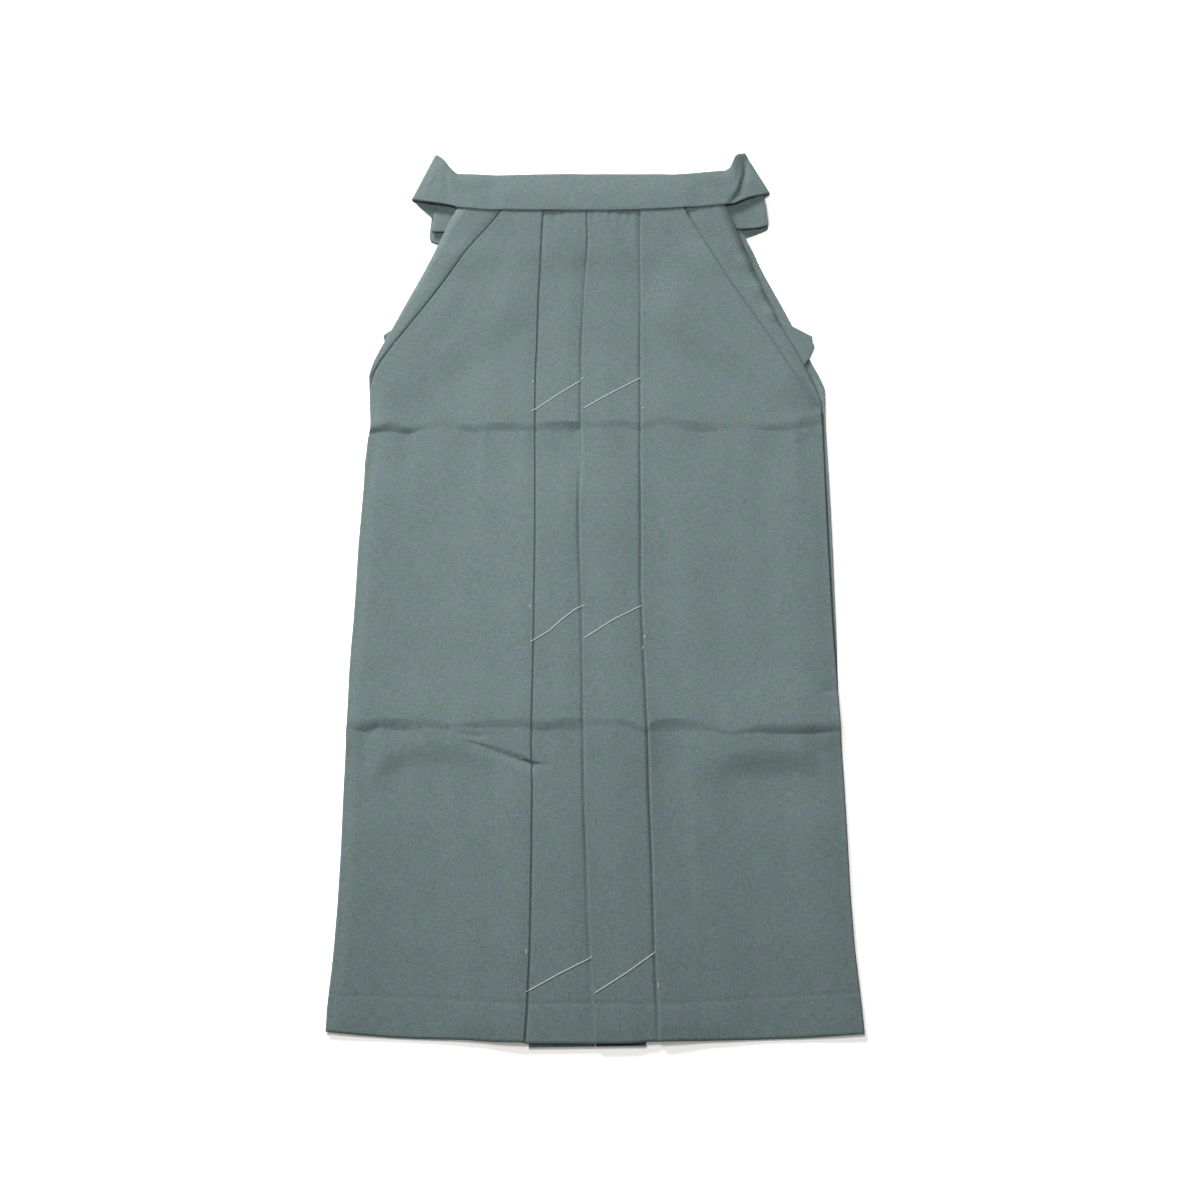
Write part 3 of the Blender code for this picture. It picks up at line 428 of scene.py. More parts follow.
# %% Tables of the creases, in millimetres
# along: the axis that the first column is on. before and after: how far the banks reach, towards
# smaller and larger places across the line. keen: 1 for a bank that is steepest at its foot, 0 for
# one that is steepest at its brink. Rows with more columns give the after bank's own reach and keen.
Crease = collections.namedtuple("Crease", "along before after keen rows")
FOLD_COLUMNS = "along where depth after keen"
FRONT_CREASES = {
    "upper fold": Crease("x", 95, None, None, (
        (-241, 150.0, 2.3, 6.5, 1.0), (-231, 152.6, 3.3, 7, 1.0), (-225, 152.8, 3.3, 9, 1.0),
        (-216, 153.3, 2.9, 12, 0.8), (-208, 152.2, 2.8, 10.5, 0.9), (-200, 150.2, 2.9, 9.5, 1.0),
        (-193, 150.6, 2.4, 8, 1.0), (-186, 152.8, 1.1, 7, 1.0), (-177, 155.5, 0.5, 6.5, 0.8),
        (-160, 157.5, 0.4, 9.5, 0.5), (-146, 156.0, 0.6, 8, 0.5), (-139, 152.5, 1.4, 7, 0.6),
        (-130, 151.0, 1.9, 9, 0.5), (-121, 149.6, 1.7, 9.5, 0.8), (-113, 152.5, 0.9, 7, 0.7),
        (-106, 152.2, 1.9, 9, 0.5), (-90, 152.0, 2.3, 9.5, 0.5), (-79, 152.0, 1.9, 9, 0.5),
        (-68, 150.8, 0.9, 6.5, 0.8), (-56, 152.5, 1.1, 8, 0.4), (-46, 152.5, 1.6, 9.5, 0.2),
        (-32, 151.0, 2.8, 12, 0.15), (-22, 150.5, 3.1, 12, 0.1), (-10, 151.0, 3.0, 11, 0.1),
        (-7, 154.0, 0.6, 7, 0.5), (12, 154.0, 0.7, 8, 0.5), (24, 154.0, 1.1, 8, 0.4),
        (38, 154.0, 1.6, 9, 0.4), (50, 151.5, 1.6, 9, 0.6), (58, 151.0, 0.9, 7, 0.6),
        (74, 155.5, 0.8, 9, 0.5), (87, 155.5, 1.0, 9.5, 0.4), (98, 152.5, 1.7, 11, 0.5),
        (110, 149.6, 2.3, 12, 0.5), (120, 148.4, 2.3, 12, 0.5), (130, 148.5, 1.7, 9.5, 0.7),
        (138, 149.6, 1.1, 9, 0.8), (146, 152.0, 0.5, 7, 0.6), (170, 152.5, 0.3, 7, 0.5),
        (182, 151.0, 0.8, 7, 0.8), (194, 149.8, 1.4, 9, 1.0), (206, 149.3, 1.8, 10.5, 1.0),
        (215, 149.0, 1.8, 10.5, 1.0), (222, 150.2, 1.2, 9, 0.9), (232, 152.8, 2.0, 13.5, 0.8),
        (242, 154.0, 2.3, 14.5, 0.7), (257, 156.0, 1.8, 13.5, 0.6))),
    "lower fold": Crease("x", 110, None, None, (
        (-250, -176.0, 0.6, 8, 0.9), (-241, -178.0, 1.1, 8, 0.9), (-235, -179.6, 2.6, 11, 0.9),
        (-229, -180.4, 3.4, 15, 0.9), (-224, -178.4, 3.0, 10, 0.9), (-219, -175.0, 2.6, 9, 0.9),
        (-212, -175.6, 2.4, 10, 0.8), (-203, -178.0, 3.0, 12, 0.6), (-193, -179.0, 2.6, 12, 0.6),
        (-180, -178.6, 1.6, 11, 0.6), (-166, -176.0, 1.0, 9, 0.6), (-157, -177.4, 1.1, 8, 0.8),
        (-149, -179.0, 1.1, 7, 0.8), (-143, -178.0, 0.5, 6, 0.8), (-131, -175.5, 0.5, 5, 0.8),
        (-124, -176.6, 1.2, 7, 0.9), (-117, -178.0, 1.3, 7, 0.9), (-108, -176.8, 1.0, 7.5, 0.7),
        (-95, -177.4, 1.4, 10, 0.8), (-80, -177.8, 1.6, 10.5, 0.9), (-66, -178.0, 1.3, 10, 0.8),
        (-58, -179.6, 1.7, 10.5, 0.9), (-47, -181.2, 2.3, 11, 0.9), (-38, -180.0, 2.0, 10.5, 0.7),
        (-27, -180.6, 2.3, 13, 0.4), (-18, -182.0, 2.3, 14, 0.4), (-9, -181.0, 1.4, 13.5, 0.3),
        (-5, -178.0, 0.6, 7.5, 0.4), (20, -176.6, 0.7, 7, 0.5), (36, -178.0, 1.0, 7, 0.7),
        (46, -182.4, 1.0, 7.5, 0.8), (56, -186.0, 1.0, 7.5, 0.8), (60, -184.6, 1.1, 9, 0.3),
        (68, -184.2, 2.3, 14, 0.1), (80, -184.0, 2.4, 14, 0.1), (96, -183.0, 2.0, 12, 0.3),
        (108, -182.6, 1.4, 11, 0.6), (120, -182.8, 0.8, 6.5, 0.9), (134, -186.2, 0.7, 4.5, 1.0),
        (147, -187.8, 0.7, 4.5, 1.0), (158, -185.8, 1.1, 7, 0.9), (172, -185.6, 2.0, 9.5, 0.9),
        (186, -187.0, 2.8, 11, 0.9), (200, -187.4, 3.0, 11.5, 0.9), (214, -187.4, 3.1, 11.5, 1.0),
        (230, -186.6, 3.0, 12, 1.0), (240, -185.4, 1.9, 9, 1.0), (256, -184.6, 1.1, 7, 1.0))),
    "line below it": Crease("x", 6, 6, 0.8, (
        (-142, -182.0, 0.0), (-132, -184.4, 0.4), (-118, -186.4, 0.6), (-106, -185.2, 0.4),
        (-94, -184.0, 0.0))),
    "slanting tuck": Crease("x", 14, 2.6, 1.0, (
        (-130, -189.6, 0.0), (-122, -192.4, 0.8), (-103, -198.4, 1.2), (-88, -203.8, 1.7),
        (-73, -209.6, 2.1), (-63, -213.6, 2.3), (-56, -215.0, 1.2), (-46, -216.0, 0.0))),
    "hem's stitching": Crease("x", 3.5, 2.5, 0.6, (
        (-258, -440.5, 0.3), (-246, -440.8, 0.25), (-159, -444.6, 0.25), (-77, -450.2, 0.3),
        (83, -452.0, 0.3), (160, -448.1, 0.25), (258, -444.0, 0.3))),
    "left arch": Crease("x", 26, 90, None, (
        (-236, -226.0, 0.0), (-228, -220.0, -0.8), (-216, -211.0, -1.4), (-206, -203.0, -1.8),
        (-194, -196.0, -2.0), (-174, -190.5, -2.0), (-156, -190.5, -1.9), (-132, -193.0, -1.5),
        (-112, -200.0, -0.8), (-92, -207.0, 0.0))),
    "right arch": Crease("x", 32, 90, None, (
        (86, -219.0, 0.0), (112, -211.0, -0.7), (126, -208.0, -1.4), (142, -203.5, -2.6),
        (160, -201.0, -3.4), (190, -201.5, -3.6), (212, -203.0, -3.3), (232, -206.5, -2.2),
        (246, -210.0, -1.0), (258, -213.0, 0.0))),
    "left end bump": Crease("x", 8, 7, None, (
        (-238, 158.5, 0.0), (-233, 161.0, -0.7), (-228, 165.0, -0.8), (-223, 169.0, 0.0))),
    "left wrinkle": Crease("y", 2.5, 2.5, None, (
        (-186, -217.5, 0.0), (-182, -217.5, 0.5), (-171, -219.0, 0.6), (-166, -224.0, 0.5),
        (-161, -225.0, 0.0))),
    "left wrinkle's bump": Crease("y", 4, 4, None, (
        (-182, -213.0, 0.0), (-177, -213.5, -0.7), (-172, -214.5, -0.8), (-167, -216.0, 0.0))),
    "corner nick": Crease("x", 7, 4, 0.5, (
        (232, -144.0, 0.0), (240, -142.5, 0.7), (247, -141.0, 0.8), (255, -140.0, 0.5))),
    "side nick": Crease("x", 7, 4, 0.8, (
        (226, 142.0, 0.0), (230, 136.4, 0.9), (234, 129.4, 1.0), (240, 123.0, 1.0),
        (246, 116.0, 0.7), (251, 111.0, 0.0))),
    "long pleat edge": Crease("y", 5, 9, None, (
        (-450, 99.6, 0.0), (-435, 99.8, -0.3), (-330, 103.2, -0.35), (-235, 103.0, -0.35),
        (-215, 102.0, -0.2), (-203, 101.0, 0.0))),
}
# Small puckers where the waistband gathers the middle strips: place, depth and lower end.
PUCKERS = ((-36, 0.5, 404), (-27, 0.4, 408), (-16, 0.5, 402), (-8, 0.35, 408), (7, 0.5, 401),
           (17, 0.4, 406), (27, 0.55, 400), (38, 0.45, 405), (48, 0.5, 402))
PUCKER_TOP, PUCKER_FADE, PUCKER_REACH = 419, 6, 4.5
for x, depth, end in PUCKERS:
    FRONT_CREASES[f"pucker at {x}"] = Crease("y", PUCKER_REACH, PUCKER_REACH, None, (
        (end - PUCKER_FADE, x, 0.0), (end, x, depth / 2),
        (PUCKER_TOP - PUCKER_FADE, x + 0.5, depth), (PUCKER_TOP, x + 1, depth)))
print("creases in the front:", len(FRONT_CREASES))

# %% Depth of the creases at a place
KEENNESS = 0.8                 # how far keen shapes a bank; the rest of its drop is round
CREASE_EASE = 1.5              # mm over which a crease's line is eased


def bank(share, keen):
    """1 at a crease's line, 0 at its bank's edge. Without keen the bank is wholly round."""
    if keen is None:
        return 1 - smooth(share)
    straight = keen * (1 - share) ** 2 + (1 - keen) * (1 - share ** 2)
    return KEENNESS * straight + (1 - KEENNESS) * (1 - smooth(share))


def crease_depths(creases, x, y):
    """The valleys and the ridges at each place, as two positive depths."""
    valleys, ridges = np.zeros(np.shape(x)), np.zeros(np.shape(x))
    for crease in creases.values():
        names = " ".join(FOLD_COLUMNS.split()[:len(crease.rows[0])])
        line = Lines((names, crease.rows), ease=CREASE_EASE)
        along, across = (x, y) if crease.along == "x" else (y, x)
        beside = across - line.at(along, "where")
        if "keen" in line.lines:
            reach, keen = line.at(along, "after"), line.value(along, "keen")
        else:
            reach, keen = crease.after * MM, crease.keen
        share = np.clip(abs(beside) / np.where(beside < 0, crease.before * MM, reach), 0, 1)
        drop = np.where(beside < 0, bank(share, crease.keen), bank(share, keen))
        low, high = line.places[0] * MM, line.places[-1] * MM
        depth = drop * np.where((along < low) | (along > high), 0, line.at(along, "depth"))
        valleys += np.maximum(depth, 0)
        ridges += np.maximum(-depth, 0)
    return valleys, ridges


# Waves to a centimetre, sideways and up, and where each one starts.
WAVES = ((0.071, 0.013, 0.4), (-0.019, 0.047, 1.9), (0.043, -0.031, 3.1), (0.027, 0.083, 5.2))
CENTIMETRE = 10 * MM


def unevenness(x, y, height):
    """Very shallow waves, in no step with each other, as hand-pressed cloth keeps."""
    total = sum(np.sin(2 * math.pi * (a * x + b * y) / CENTIMETRE + c) for a, b, c in WAVES)
    return height * (1 + total / len(WAVES)) / 2


RIDGE_EDGE = 45 * MM           # a ridge comes down over this way to a side edge
FRONT_UNEVENNESS = 0.4 * MM


def front_air(x, y):
    """The air between the front and what lies under it."""
    valleys, ridges = crease_depths(FRONT_CREASES, x, y)
    return (np.maximum(swell(x, y) - valleys, 0) + ridges * smooth(edge_distance(x, y) / RIDGE_EDGE)
            + unevenness(x, y, FRONT_UNEVENNESS))


def front_base(x, y):
    """Underside of the front's lowest layer."""
    lifts = sum(patch_lift(level, x, y, FRONT_RAMP) for level in ("floor", "inside"))
    return LAYER + lifts + gusset_lift(x, y) + front_air(x, y)


sample = front_base(np.array([-0.15]), np.array([0.05]))[0]
print("the front's lowest layer lies", round(sample / MM, 2), "mm up in the middle of the left panel")

# %% [markdown]
# ## From rows of places to cloth
# One sheet of cloth is a grid of points: every row crosses the piece, and the rows follow each
# other down its length. The grid keeps the cloth's own coordinates as a UV map in metres, so the
# weave goes round every fold without stretching. Unwrapping a finished mesh would give such a map
# too, but not in real sizes. A Solidify modifier gives the sheet its wall.

# %% Make a cloth piece
all_pieces = {}


def lengths_along(points):
    """The way along a line to each of its points."""
    return np.concatenate(((0,), np.cumsum(np.linalg.norm(np.diff(points, axis=0), axis=1))))


def make_sheet(name, points, anchor=0):
    """points[row, column] in metres. anchor is the column that the weave runs along."""
    rows, columns = points.shape[:2]
    numbers = np.arange(rows * columns).reshape(rows, columns)
    faces = np.stack((numbers[:-1, :-1], numbers[:-1, 1:], numbers[1:, 1:], numbers[1:, :-1]), -1)
    mesh = bpy.data.meshes.new(name)
    mesh.from_pydata(points.reshape(-1, 3).tolist(), [], faces.reshape(-1, 4).tolist())
    steps = np.linalg.norm(np.diff(points, axis=1), axis=2)
    across = np.concatenate((np.zeros((rows, 1)), np.cumsum(steps, axis=1)), axis=1)
    across -= across[:, anchor:anchor + 1]
    down = lengths_along(points[:, anchor])[:, None] + np.zeros((1, columns))
    cloth_uv = np.stack((across, down), -1).reshape(-1, 2)
    corners = np.empty(len(mesh.loops), dtype=np.int32)
    mesh.loops.foreach_get("vertex_index", corners)
    mesh.uv_layers.new(name="cloth").data.foreach_set("uv", cloth_uv[corners].ravel())
    mesh.shade_smooth()
    piece = add_object(name, mesh)
    solidify = piece.modifiers.new("cloth wall", "SOLIDIFY")
    solidify.thickness = WALL
    solidify.offset = 0.0
    solidify.use_even_offset = False
    solidify.use_quality_normals = True
    all_pieces[name] = piece
    return piece


# %% [markdown]
# A row is worked out as a tailor folds it: flat runs, and turns between them. A run lies on a
# level, counted in layers above the lowest one, and a turn is half a small circle. So a fold is
# always round, and as thick as the layers that it holds.

# %% Rows of folded cloth
TURN_ANGLES = np.radians(np.linspace(-90, 90, 7))


def spread(start, end, count):
    """count places from start to end, both left out."""
    return [start + (end - start) * (step + 1) / (count + 1) for step in range(count)]


class Row:
    """Collects the columns of a folded sheet: places across, and levels counted in layers."""

    def __init__(self, down, layer=LAYER):
        self.down, self.layer = down, layer
        self.places, self.levels, self.drops = [], [], []

    def run(self, places, levels, drops=0):
        """A flat stretch. levels and drops are one number each, or lists, one for each place."""
        for step, place in enumerate(places):
            level = levels[step] if isinstance(levels, list) else levels
            drop = drops[step] if isinstance(drops, list) else drops
            self.places.append(place + 0 * self.down)
            self.levels.append(level + 0 * self.down)
            self.drops.append(drop + 0 * self.down)

    def turn(self, place, level_from, level_to, side):
        """A fold whose outermost point is at place; side is +1 where it opens to the left."""
        radius = self.layer / 2 * abs(level_to - level_from)
        middle, half = (level_from + level_to) / 2, (level_to - level_from) / 2
        for angle in TURN_ANGLES:
            self.run([place - side * (radius + WALL / 2 - radius * math.cos(angle))],
                     middle + half * math.sin(angle))

    def fold_in_two(self, flat, fold, side):
        """A strip that runs to its fold and back over itself."""
        self.run(flat, 0)
        self.turn(fold, 0, 1, side)
        self.run(flat[::-1], 1)

    def grid(self):
        """Places across and levels, as a row of columns for each place down."""
        return np.stack(self.places, 1), np.stack(self.levels, 1)

    def groove_grid(self):
        """How far each column sinks, in the same order."""
        return np.stack(self.drops, 1)


HEM_ROW = -0.4905              # rows are drawn level, and bend to the hem's curve near the end
HEM_DROOP_START = -0.400


def hem_shift(x, y):
    """How far a row is bent up or down to follow the hem's curve."""
    share = np.clip((y - HEM_DROOP_START) / (HEM_ROW - HEM_DROOP_START), 0, 1)
    return share * (hem.at(x, "hem") - HEM_ROW)


def on_pile(x, y, base, level, layer=LAYER):
    """Points in the middle of the cloth's wall, a number of layers above the base."""
    return np.stack((x, y, base + WALL / 2 + level * layer), -1)


def rows_down(*stretches):
    """Places from the waist to the hem, in metres: (end, spacing) pairs in mm after a start."""
    places = [stretches[0]]
    for end, spacing in stretches[1:]:
        count = max(1, round(abs(end - places[-1]) / spacing))
        places += list(np.linspace(places[-1], end, count + 1)[1:])
    return np.array(places) * MM


# %% [markdown]
# ## The two fronts
# Each front is one width of cloth in many folds: the leaf beside the slit, the slanted pleat,
# the wide panel, the straight pleat and a middle strip. The right middle strip folds under at the
# centre and lies on the left one. A flat sheet could be folded up by a cloth simulation instead;
# laying it row by row keeps every pleat exactly on its line.

# %% Rows of the fronts
FRONT_LAYER = 1.0 * MM         # the fronts' layers are pressed closer together than the rest
FRONT_DOWN = rows_down(440, (404, 2.5), (190, 6), (172, 1.8), (147, 1.2), (128, 2.4), (-140, 8),
                       (-156, 1.8), (-188, 1.2), (-217, 1.0), (-244, 2.2), (-436, 8),
                       (-456, 2.2), (-476, 7), (-484, 2), (-490.5, 0.8))
HOLD_FROM, HOLD_FULL = 0.340, 0.395    # the waistband's hold on the pleats, going up


def held_by_band(y):
    """1 where the waistband holds the pleats flat, 0 well below it."""
    return smooth((y - HOLD_FROM) / (HOLD_FULL - HOLD_FROM))


def near(line, way, distances, room=1.0):
    """Places beside a line, from far to near. way is the side, room the width there is."""
    return [line + way * np.minimum(d * MM, room * d / distances[-1]) for d in distances[::-1]]


print("rows in a front:", len(FRONT_DOWN))

# %% [markdown]
# Between its hidden layers a panel sinks towards the back, so the pleats' inner edges show
# through as soft steps. A top layer stands a little higher beside its fold, and the layer on which
# a fold lies sinks beside it: both are what makes a pleat's line look dark and sharp.

# %% Levels beside the folds
DIP_WIDTH = 130 * MM           # a panel this wide between its pleats comes all the way down
DIP_SLOPES = 2.5               # one part in this many of a panel is the slope down from a pleat
PUFF, PUFF_WIDTH = 0.3, 9 * MM     # a pressed fold keeps this much more height, in layers
GROOVE_MIDDLE, GROOVE_OUT, GROOVE_IN = 0.5, 3.4, 5.0   # mm, on the open and the covered side


def panel_levels(places, inner, outer):
    """Levels across a panel: 2 over each pleat's hidden layers, lower in the free middle."""
    depth = 2 * smooth(abs(outer - inner) / DIP_WIDTH)
    shares = [(x - inner) / (outer - inner) for x in places]
    return [2 - depth * smooth(np.minimum(s, 1 - s) * DIP_SLOPES) for s in shares]


def puffed(places, line, puff=PUFF):
    """Levels of a top layer beside its fold."""
    return [2 + puff * (1 - smooth(abs(x - line) / PUFF_WIDTH)) for x in places]


def grooved(places, line, way, depth, out=GROOVE_OUT, middle=GROOVE_MIDDLE):
    """How far a lower layer sinks beside a fold that lies on it. way is the open side."""
    drops = []
    for x in places:
        past = (x - line) * way / MM - middle
        drops.append(depth * (1 - smooth(np.where(past > 0, past / out, -past / GROOVE_IN))))
    return drops


# %% The leaf beside the slit
LEAF_GROOVE = 3.2 * MM         # how far the leaf sinks beside the slanted fold
LEAF_GROOVE_MIDDLE = {"left": 0.5, "right": 2.0}
LEAF_GROOVE_OUT = {"left": 3.2, "right": 1.7}
LEAF_LIFT = {"left": 0.8, "right": 0.0}    # layers that a leaf rises by beside its slanted fold
LEAF_LIFT_WAY, LEAF_WIDE = 5 * MM, 9 * MM  # its way up from the edge, where the leaf is this wide
LEAF_RISE = {"left": 0.0, "right": 3.2}    # mm: the right leaf's own edge has sprung up
LEAF_RISE_WIDTH = 14 * MM
LEAF_FREE, LEAF_FREE_WAY = 0.385, 25 * MM  # and it does so only below this height
LEAF_WAVES = (0.272, 0.372, 32 * MM)       # from, to and length of the waves that it keeps
WAVE_CREST, WAVE_MIDDLE, WAVE_FADE = 0.352, 0.2, 12 * MM


def leaf_levels(places, leaf, fold, side, down):
    """Levels across a leaf: up between its edge and the groove, and wavy along the right edge."""
    width = abs(fold - leaf)
    low, high, length = LEAF_WAVES
    turns = (down - WAVE_CREST) / length
    wavy = np.clip(WAVE_MIDDLE + (1 - WAVE_MIDDLE) * np.cos(2 * math.pi * turns), 0, 1)
    wavy = wavy * smooth((down - low) / WAVE_FADE) * smooth((high - down) / WAVE_FADE)
    free = smooth((LEAF_FREE - down) / LEAF_FREE_WAY)
    sprung = LEAF_RISE[side] * MM / FRONT_LAYER * wavy
    levels = []
    for x in places:
        past = np.minimum(abs(x - leaf), width)
        beside = smooth((width - past - GROOVE_MIDDLE * MM) / (LEAF_GROOVE_OUT[side] * MM))
        lifted = LEAF_LIFT[side] * smooth(past / LEAF_LIFT_WAY) * smooth(width / LEAF_WIDE)
        risen = sprung * smooth(1.1 - past / LEAF_RISE_WIDTH)
        levels.append(free * beside * np.maximum(lifted, risen))
    return levels


# %% From the leaf to the straight pleat
PANEL_STEPS, STRIP_STEPS, UNDER_STEPS, LEAF_STEPS = 46, 16, 5, 3
NEAR_FOLD = (2.0, 3.2, 5.0, 7.0)       # mm from a fold: more columns close to it
NEAR_GROOVE = (0.2, 0.7, 1.3, 2.0, 3.0, 4.5)
NEAR_ROOM = 0.9                # the share of a leaf's width that these may take
NEAR_LEAF, NEAR_PLEAT = 6 * MM, 8 * MM     # the evenly spread columns stop this short of a fold
LEAF_SHUT = 3 * MM             # a leaf narrower than this has no full groove
FOLD_PUFF = {"left": 0.3, "right": 2.0}    # PUFF of the slanted folds, below the waistband
FOLD_PUFF_WAY = 6 * MM


def outer_layers(row, side):
    """From the outer edge to the straight pleat's fold: leaf, slanted pleat and main panel."""
    y, inward = row.down, 1 if side == "left" else -1
    leaf, fold = front.at(y, "leaf_" + side), front.at(y, "fold_" + side)
    pleat = front.at(y, "pleat_" + side)
    fold_under = fold + inward * hidden.at(y, "fold")
    pleat_under = pleat - inward * hidden.at(y, "pleat")
    width = abs(fold - leaf)
    # the leaf, and how it goes in under the slanted fold
    open_leaf = [leaf] + spread(leaf, fold - inward * np.minimum(NEAR_LEAF, width), LEAF_STEPS)
    open_leaf += near(fold, -inward, NEAR_GROOVE, width * NEAR_ROOM)
    covered = near(fold, inward, NEAR_GROOVE)[::-1]
    sunk = LEAF_GROOVE * smooth(width / LEAF_SHUT)
    row.run(open_leaf, leaf_levels(open_leaf, leaf, fold, side, y),
            grooved(open_leaf, fold, -inward, sunk, LEAF_GROOVE_OUT[side],
                    LEAF_GROOVE_MIDDLE[side]))
    row.run(covered, 0, grooved(covered, fold, -inward, sunk))
    row.turn(fold_under, 0, 1, inward)
    # out again to the slanted fold, and over it into the main panel
    beside_fold = near(fold, inward, NEAR_FOLD)
    row.run(beside_fold, 1)
    sprung = (1 - held_by_band(y)) * smooth(width / FOLD_PUFF_WAY)
    puff = PUFF + (FOLD_PUFF[side] - PUFF) * sprung
    row.turn(fold, 1, 2 + puff, -inward)
    top = beside_fold[::-1] + [fold_under]
    row.run(top, puffed(top, fold, puff))
    free = spread(fold_under, pleat_under, PANEL_STEPS)
    row.run(free, panel_levels(free, fold_under, pleat_under))
    # the straight pleat: over its fold, in under the panel, and back
    beside_pleat = near(pleat, -inward, NEAR_FOLD)
    under_pleat = spread(pleat_under, pleat - inward * NEAR_PLEAT, UNDER_STEPS)
    top = [pleat_under] + under_pleat + beside_pleat
    puff = PUFF if side == "right" else 0.0
    row.run(top, puffed(top, pleat, puff))
    row.turn(pleat, 2 + puff, 1, inward)
    anchor = len(row.places) - len(TURN_ANGLES) // 2 - 1   # the weave runs along the pleat's fold
    row.run((under_pleat + beside_pleat)[::-1], 1)
    row.turn(pleat_under, 1, 0, -inward)
    covered = under_pleat + near(pleat, -inward, NEAR_GROOVE)
    row.run(covered, 0, grooved(covered, pleat, inward, grooves.at(y, side)))
    return pleat, anchor


# %% [markdown]
# The two middle strips meet at the centre pleat. Under the waistband they are flush. Below it the
# right strip climbs over the hidden end of the left one and folds back on itself, and the left
# one dips towards that fold.

# %% The middle strips
CENTRE_SINK, CENTRE_SINK_WIDTH = 0.9 * MM, 18 * MM     # the left strip dips towards the centre fold
CENTRE_FLUSH = 1.75            # layers that it rises by there under the waistband, to be flush
FLUSH_START = 0.2              # the share of its width over which it doesn't rise yet
FLUSH_GAP, FLUSH_DROP = 0.4 * MM, 1.5 * MM     # and how it comes down again at the very fold
STRIP_LIFT = 0.9               # layers that a middle strip rises by under the waistband
LIFT_AT_PLEAT, LIFT_AT_CENTRE = 7 * MM, 20 * MM        # the ways over which it does so
CLIMB_EVEN, CLIMB_ROUND = 1.3, 0.7     # layers: two parts of the right strip's climb


def left_strip(row, pleat, centre, under):
    """From the left straight pleat to the centre, and in under the other strip."""
    held = held_by_band(row.down)
    beside_pleat, beside_centre = grooves.at(row.down, "left"), grooves.at(row.down, "centre")
    start, end = near(pleat, 1, NEAR_GROOVE)[::-1], near(centre, -1, NEAR_GROOVE)
    strip = [pleat] + start + spread(start[-1], end[0], STRIP_STEPS) + end + [centre]
    lifts, sinks = [], []
    for x in strip:
        lift = (STRIP_LIFT * held * smooth((x - pleat) / LIFT_AT_PLEAT)
                * smooth((centre - x) / LIFT_AT_CENTRE))
        share = (x - pleat) / (centre - pleat) * (1 + FLUSH_START) - FLUSH_START
        flush = (CENTRE_FLUSH * held * smooth(share)
                 * smooth((centre - FLUSH_GAP - x) / FLUSH_DROP))
        lifts.append(lift + flush)
        sinks.append(CENTRE_SINK * (1 - smooth((centre - x) / CENTRE_SINK_WIDTH)))
    drops = [a + (b + c) * (1 - held) for a, b, c in
             zip(grooved(strip, pleat, 1, beside_pleat),
                 grooved(strip, centre, -1, beside_centre), sinks)]
    row.run(strip, lifts, drops)
    covered = near(centre, 1, NEAR_GROOVE)[::-1]
    row.run(covered, 0, [d * (1 - held) for d in grooved(covered, centre, -1, beside_centre)])
    row.run(spread(covered[-1], under, UNDER_STEPS) + [under], 0)


def right_strip(row, pleat, centre, under):
    """From the right straight pleat in under itself, out to the centre fold, and back."""
    held = held_by_band(row.down)
    start = near(pleat, -1, NEAR_GROOVE)[::-1]
    strip = [pleat] + start + spread(start[-1], under, STRIP_STEPS)
    lifts = []
    for x in strip:
        share = np.clip((pleat - x) / (pleat - under), 0, 1)
        climb = CLIMB_EVEN * share + CLIMB_ROUND * smooth(share)
        lifts.append(np.maximum(climb, STRIP_LIFT * held * smooth((pleat - x) / LIFT_AT_PLEAT)))
    row.run(strip, lifts, grooved(strip, pleat, -1, grooves.at(row.down, "right")))
    beside = near(centre, 1, NEAR_FOLD)
    under_centre = spread(under, beside[0], UNDER_STEPS)
    top = [under] + under_centre + beside
    row.run(top, [2 + (p - 2) * (1 - held) for p in puffed(top, centre)])
    row.turn(centre, 2 + PUFF * (1 - held), 1, -1)
    row.run((under_centre + beside)[::-1] + [under], 1)


# %% Fold both fronts
SQUEEZE = 0.22                 # share of the pile's height lost where the waistband holds it
EDGE_SQUEEZE, EDGE_SQUEEZE_WIDTH = 0.28, 16 * MM   # the same along the side edges and the hem
PLEAT_SQUEEZE_WIDTH = 11 * MM  # and along the left straight pleat, which is pressed the flattest
HEM_ROLL, HEM_ROLL_WIDTH = 0.9 * MM, 3.0 * MM
AIR_KEPT = 0.1 * MM            # a groove never takes the last of the air


def laid_front(row):
    """The front's places on the pile, squeezed under the waistband and rolled at the hem."""
    x, level = row.grid()
    down = row.down[:, None]
    y = down + hem_shift(x, down)
    air = front_air(x, y)
    roll = HEM_ROLL * np.clip(1 - (down - HEM_ROW) / HEM_ROLL_WIDTH, 0, 1) ** 2
    beside_edge = smooth(1 - np.minimum(edge_distance(x, y), down - HEM_ROW) / EDGE_SQUEEZE_WIDTH)
    beside_pleat = smooth(1 - abs(x - front.at(down, "pleat_left")) / PLEAT_SQUEEZE_WIDTH)
    squeeze = np.maximum(SQUEEZE * held_by_band(down),
                         EDGE_SQUEEZE * np.maximum(beside_edge, beside_pleat))
    height = front_base(x, y) + WALL / 2 + level * FRONT_LAYER * (1 - squeeze)
    height -= np.minimum(row.groove_grid(), np.maximum(air - AIR_KEPT, 0))
    return np.stack((x, y, height - np.minimum(roll, air)), -1)


